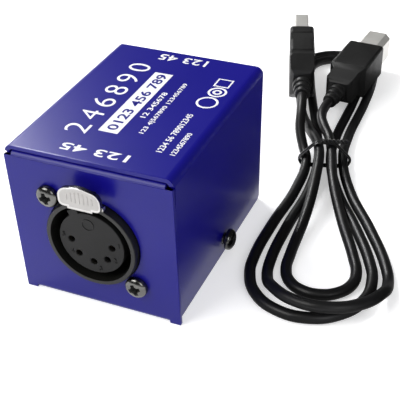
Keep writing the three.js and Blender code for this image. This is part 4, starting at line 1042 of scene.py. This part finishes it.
# print on the cover: plain numbers, a bar, rings and a square outline
printLook = {
    "height": 39.0,
    "thick": 0.03,
    "sink": 0.05,
    "digits": {"text": "246890", "first": -14.35, "pitch": 6.08, "width": 3.8, "foot": -5.6, "top": -11.1,
               "bold": -0.008, "steps": 6},
    "alongRows": {
        # text: run from, run to, foot, top, added weight
        "12 345678": (-5.5, 6.6, 3.8, 2.4, 0.012),
        "123 4|567890 123456789": (-11.7, 12.2, 6.7, 5.2, 0.012),
        "1234 56 789012345": (-17.2, -0.5, 13.4, 11.9, 0.016),
        "1234567890": (-17.4, -8.0, 16.5, 15.2, 0.016),
    },
    "acrossRows": {
        # text: from, to, foot, top, added weight; a blank at the end keeps the second row apart
        "123 45": (8.0, -8.0, -20.6, -23.3, 0.012),
        "123 45 ": (6.5, -6.3, 24.7, 21.7, 0.012),
    },
    "bar": (-3.6, 1.1, -13.8, 15.1),
    "barText": ("0123 456 789", -12.7, 14.4, 0.2, -2.4, 0.02),
    "barRaise": 0.02,
    # x, y, radius, corners
    "marks": ((13.95, 5.7, 2.35, 40), (14.3, 10.95, 2.0, 40), (14.3, 10.95, 0.85, 24), (14.05, 15.5, 2.5, 4)),
    "markStroke": 0.28,
    "markSides": 8,
}


def makePrint(look):
    top, thick = look["height"], look["thick"]
    along, across = ((0, 1, 0), (-1, 0, 0)), ((-1, 0, 0), (0, -1, 0))
    digits = look["digits"]
    inked = []
    for index, digit in enumerate(digits["text"]):
        middle = ((digits["foot"] + digits["top"]) / 2, digits["first"] + digits["pitch"] * index, top)
        size = (digits["width"], digits["foot"] - digits["top"])
        inked.append(numerals(digit, middle, *along, size, thick, digits["bold"], digits["steps"]))
    for text, (start, end, foot, head, bold) in look["alongRows"].items():
        middle = ((foot + head) / 2, (start + end) / 2, top)
        inked.append(numerals(text, middle, *along, (end - start, foot - head), thick, bold))
    for text, (start, end, foot, head, bold) in look["acrossRows"].items():
        middle = ((start + end) / 2, (foot + head) / 2, top)
        inked.append(numerals(text.strip(), middle, *across, (start - end, foot - head), thick, bold))
    x0, x1, y0, y1 = look["bar"]
    inked.append(block((x0, y0, top - look["sink"]), (x1, y1, top + thick)))
    for x, y, size, corners in look["marks"]:
        bpy.ops.mesh.primitive_torus_add(major_segments=corners, minor_segments=look["markSides"],
                                         major_radius=size * mm, minor_radius=look["markStroke"] * mm,
                                         rotation=(0, 0, math.pi / 4))
        mark = bpy.context.object
        mark.location = Vector((x, y, top)) * mm
        mark.scale = (1, 1, thick / look["markStroke"])
        inked.append(settle(mark))
    wear(joinAll("coverPrint", inked), "whiteInk", None)
    text, start, end, foot, head, bold = look["barText"]
    middle = ((foot + head) / 2, (start + end) / 2, top + thick)
    knocked = numerals(text, middle, *along, (end - start, foot - head), look["barRaise"], bold)
    knocked.name = "barNumbers"
    wear(knocked, "bluePaint", None)


makePrint(printLook)
print("print ready")

# studio
studio = {
    "floorRadius": 3,                # m
    "floorSides": 96,
    "floorTint": (0.82, 0.82, 0.83),
    "floorRoughness": 0.95,
    "floorGloss": 0.1,
    "floorLift": (0.42, 0.95),       # glow beside the object and far from it
    "liftReach": (0.16, 0.5),        # where the one goes over into the other
    "ambient": 0.5,
    "seenBy": ("Is Camera Ray", "Is Glossy Ray", "Is Transmission Ray"),
    "ceiling": 0.03,                 # what a polished top sees overhead
    "horizon": 0.16,                 # height of a ray's direction at which the ceiling starts
    "lamps": {
        # name: place, aim, size, watts, colour
        "keySoftbox": ((-0.45, -0.55, 0.75), (0, 0, 0.02), 0.55, 6.2, (1, 0.99, 0.97)),
        "fillSoftbox": ((0.6, -0.6, 0.55), (0.02, 0.02, 0.02), 0.5, 2.4, (0.97, 0.98, 1)),
        "backSoftbox": ((-0.62, 0.48, 0.655), (-0.01, -0.01, 0.039), 0.3, 8.3, (1, 1, 1)),
    },
    "cards": (
        # dark cards that only gloss sees, painted reflections of shade, on the floor beside the box and
        # upright behind it: two corners and a grey
        ((22.4, -30, 0.3), (64, 26, 0.35), 0.4),
        ((22.4, 26.1, 0.3), (64, 108, 0.35), 0.04),
        ((20.8, 4, 0.3), (22.4, 108, 0.35), 0.045),
        ((64.2, -30, 0.3), (300, 330, 0.35), 0.03),
        ((-260, 420, 0), (460, 421, 125), 0.045),
        ((460, 60, 0), (461, 421, 125), 0.045),
    ),
}


def rays(tree, *labels):
    path = tree.nodes.new("ShaderNodeLightPath")
    total = path.outputs[labels[0]]
    for label in labels[1:]:
        larger = tree.nodes.new("ShaderNodeMath")
        larger.operation = "MAXIMUM"
        tree.links.new(total, larger.inputs[0])
        tree.links.new(path.outputs[label], larger.inputs[1])
        total = larger.outputs[0]
    return total


# goes smoothly from one value to another
def fadeOf(tree, source, start, end, low, high):
    fade = tree.nodes.new("ShaderNodeMapRange")
    fade.interpolation_type = "SMOOTHSTEP"
    for label, value in (("From Min", start), ("From Max", end), ("To Min", low), ("To Max", high)):
        fade.inputs[label].default_value = value
    tree.links.new(source, fade.inputs["Value"])
    return fade.outputs["Result"]


def makeStudio(look):
    bpy.ops.mesh.primitive_circle_add(vertices=look["floorSides"], radius=look["floorRadius"],
                                      fill_type="NGON")
    floor = bpy.context.object
    floor.name = "studioFloor"
    paper = bpy.data.materials.new("paleFloor")
    paper.use_nodes = True
    tree = paper.node_tree
    shader = tree.nodes["Principled BSDF"]
    shader.inputs["Base Color"].default_value = (*look["floorTint"], 1)
    shader.inputs["Roughness"].default_value = look["floorRoughness"]
    shader.inputs["Specular IOR Level"].default_value = look["floorGloss"]
    glow = tree.nodes.new("ShaderNodeEmission")
    reach = tree.nodes.new("ShaderNodeVectorMath")      # distance from the object
    reach.operation = "LENGTH"
    tree.links.new(tree.nodes.new("ShaderNodeTexCoord").outputs["Object"], reach.inputs[0])
    lift = tree.nodes.new("ShaderNodeMath")
    lift.operation = "MULTIPLY"
    fade = fadeOf(tree, reach.outputs["Value"], *look["liftReach"], *look["floorLift"])
    tree.links.new(fade, lift.inputs[1])
    both = tree.nodes.new("ShaderNodeAddShader")
    tree.links.new(rays(tree, *look["seenBy"]), lift.inputs[0])
    tree.links.new(lift.outputs[0], glow.inputs["Strength"])
    tree.links.new(shader.outputs[0], both.inputs[0])
    tree.links.new(glow.outputs[0], both.inputs[1])
    tree.links.new(both.outputs[0], tree.nodes["Material Output"].inputs["Surface"])
    floor.data.materials.append(paper)
    # each card paints shade into what gloss reflects
    for low, high, grey in look["cards"]:
        reflectionShadeFinish = bpy.data.materials.new("paintedReflectionGrey")
        reflectionShadeFinish.use_nodes = True
        shader = reflectionShadeFinish.node_tree.nodes["Principled BSDF"]
        shader.inputs["Base Color"].default_value = (grey, grey, grey, 1)
        shader.inputs["Specular IOR Level"].default_value = 0
        card = block(low, high)
        card.name = "reflectionShadeCard"
        card.data.materials.append(reflectionShadeFinish)
        card.visible_camera = card.visible_diffuse = card.visible_shadow = card.visible_transmission = False
    world = bpy.data.worlds.new("studioAir")
    scene.world = world
    world.use_nodes = True
    tree = world.node_tree
    tree.nodes.clear()
    air = tree.nodes.new("ShaderNodeBackground")
    air.inputs["Strength"].default_value = look["ambient"]
    white = tree.nodes.new("ShaderNodeBackground")
    # the camera sees white all round; gloss sees white to a little over the horizon, then a dim ceiling
    way = tree.nodes.new("ShaderNodeTexCoord")
    split = tree.nodes.new("ShaderNodeSeparateXYZ")
    tree.links.new(way.outputs["Generated"], split.inputs[0])
    level = tree.nodes.new("ShaderNodeMath")
    level.operation = "MAXIMUM"
    fade = fadeOf(tree, split.outputs["Z"], 0, look["horizon"], 1, look["ceiling"])
    tree.links.new(fade, level.inputs[0])
    tree.links.new(rays(tree, "Is Camera Ray", "Is Transmission Ray"), level.inputs[1])
    tree.links.new(level.outputs[0], white.inputs["Strength"])
    mix = tree.nodes.new("ShaderNodeMixShader")
    for node in (air, white):
        node.inputs["Color"].default_value = (1, 1, 1, 1)
    out = tree.nodes.new("ShaderNodeOutputWorld")
    tree.links.new(rays(tree, *look["seenBy"]), mix.inputs[0])
    tree.links.new(air.outputs[0], mix.inputs[1])
    tree.links.new(white.outputs[0], mix.inputs[2])
    tree.links.new(mix.outputs[0], out.inputs["Surface"])
    for name, (where, aim, size, watts, colour) in look["lamps"].items():
        data = bpy.data.lights.new(name, "AREA")
        data.size = size
        data.energy = watts
        data.color = colour
        lamp = bpy.data.objects.new(name, data)
        scene.collection.objects.link(lamp)
        lamp.location = where
        lamp.rotation_euler = (Vector(aim) - Vector(where)).to_track_quat("-Z", "Y").to_euler()


makeStudio(studio)
print("studio ready")
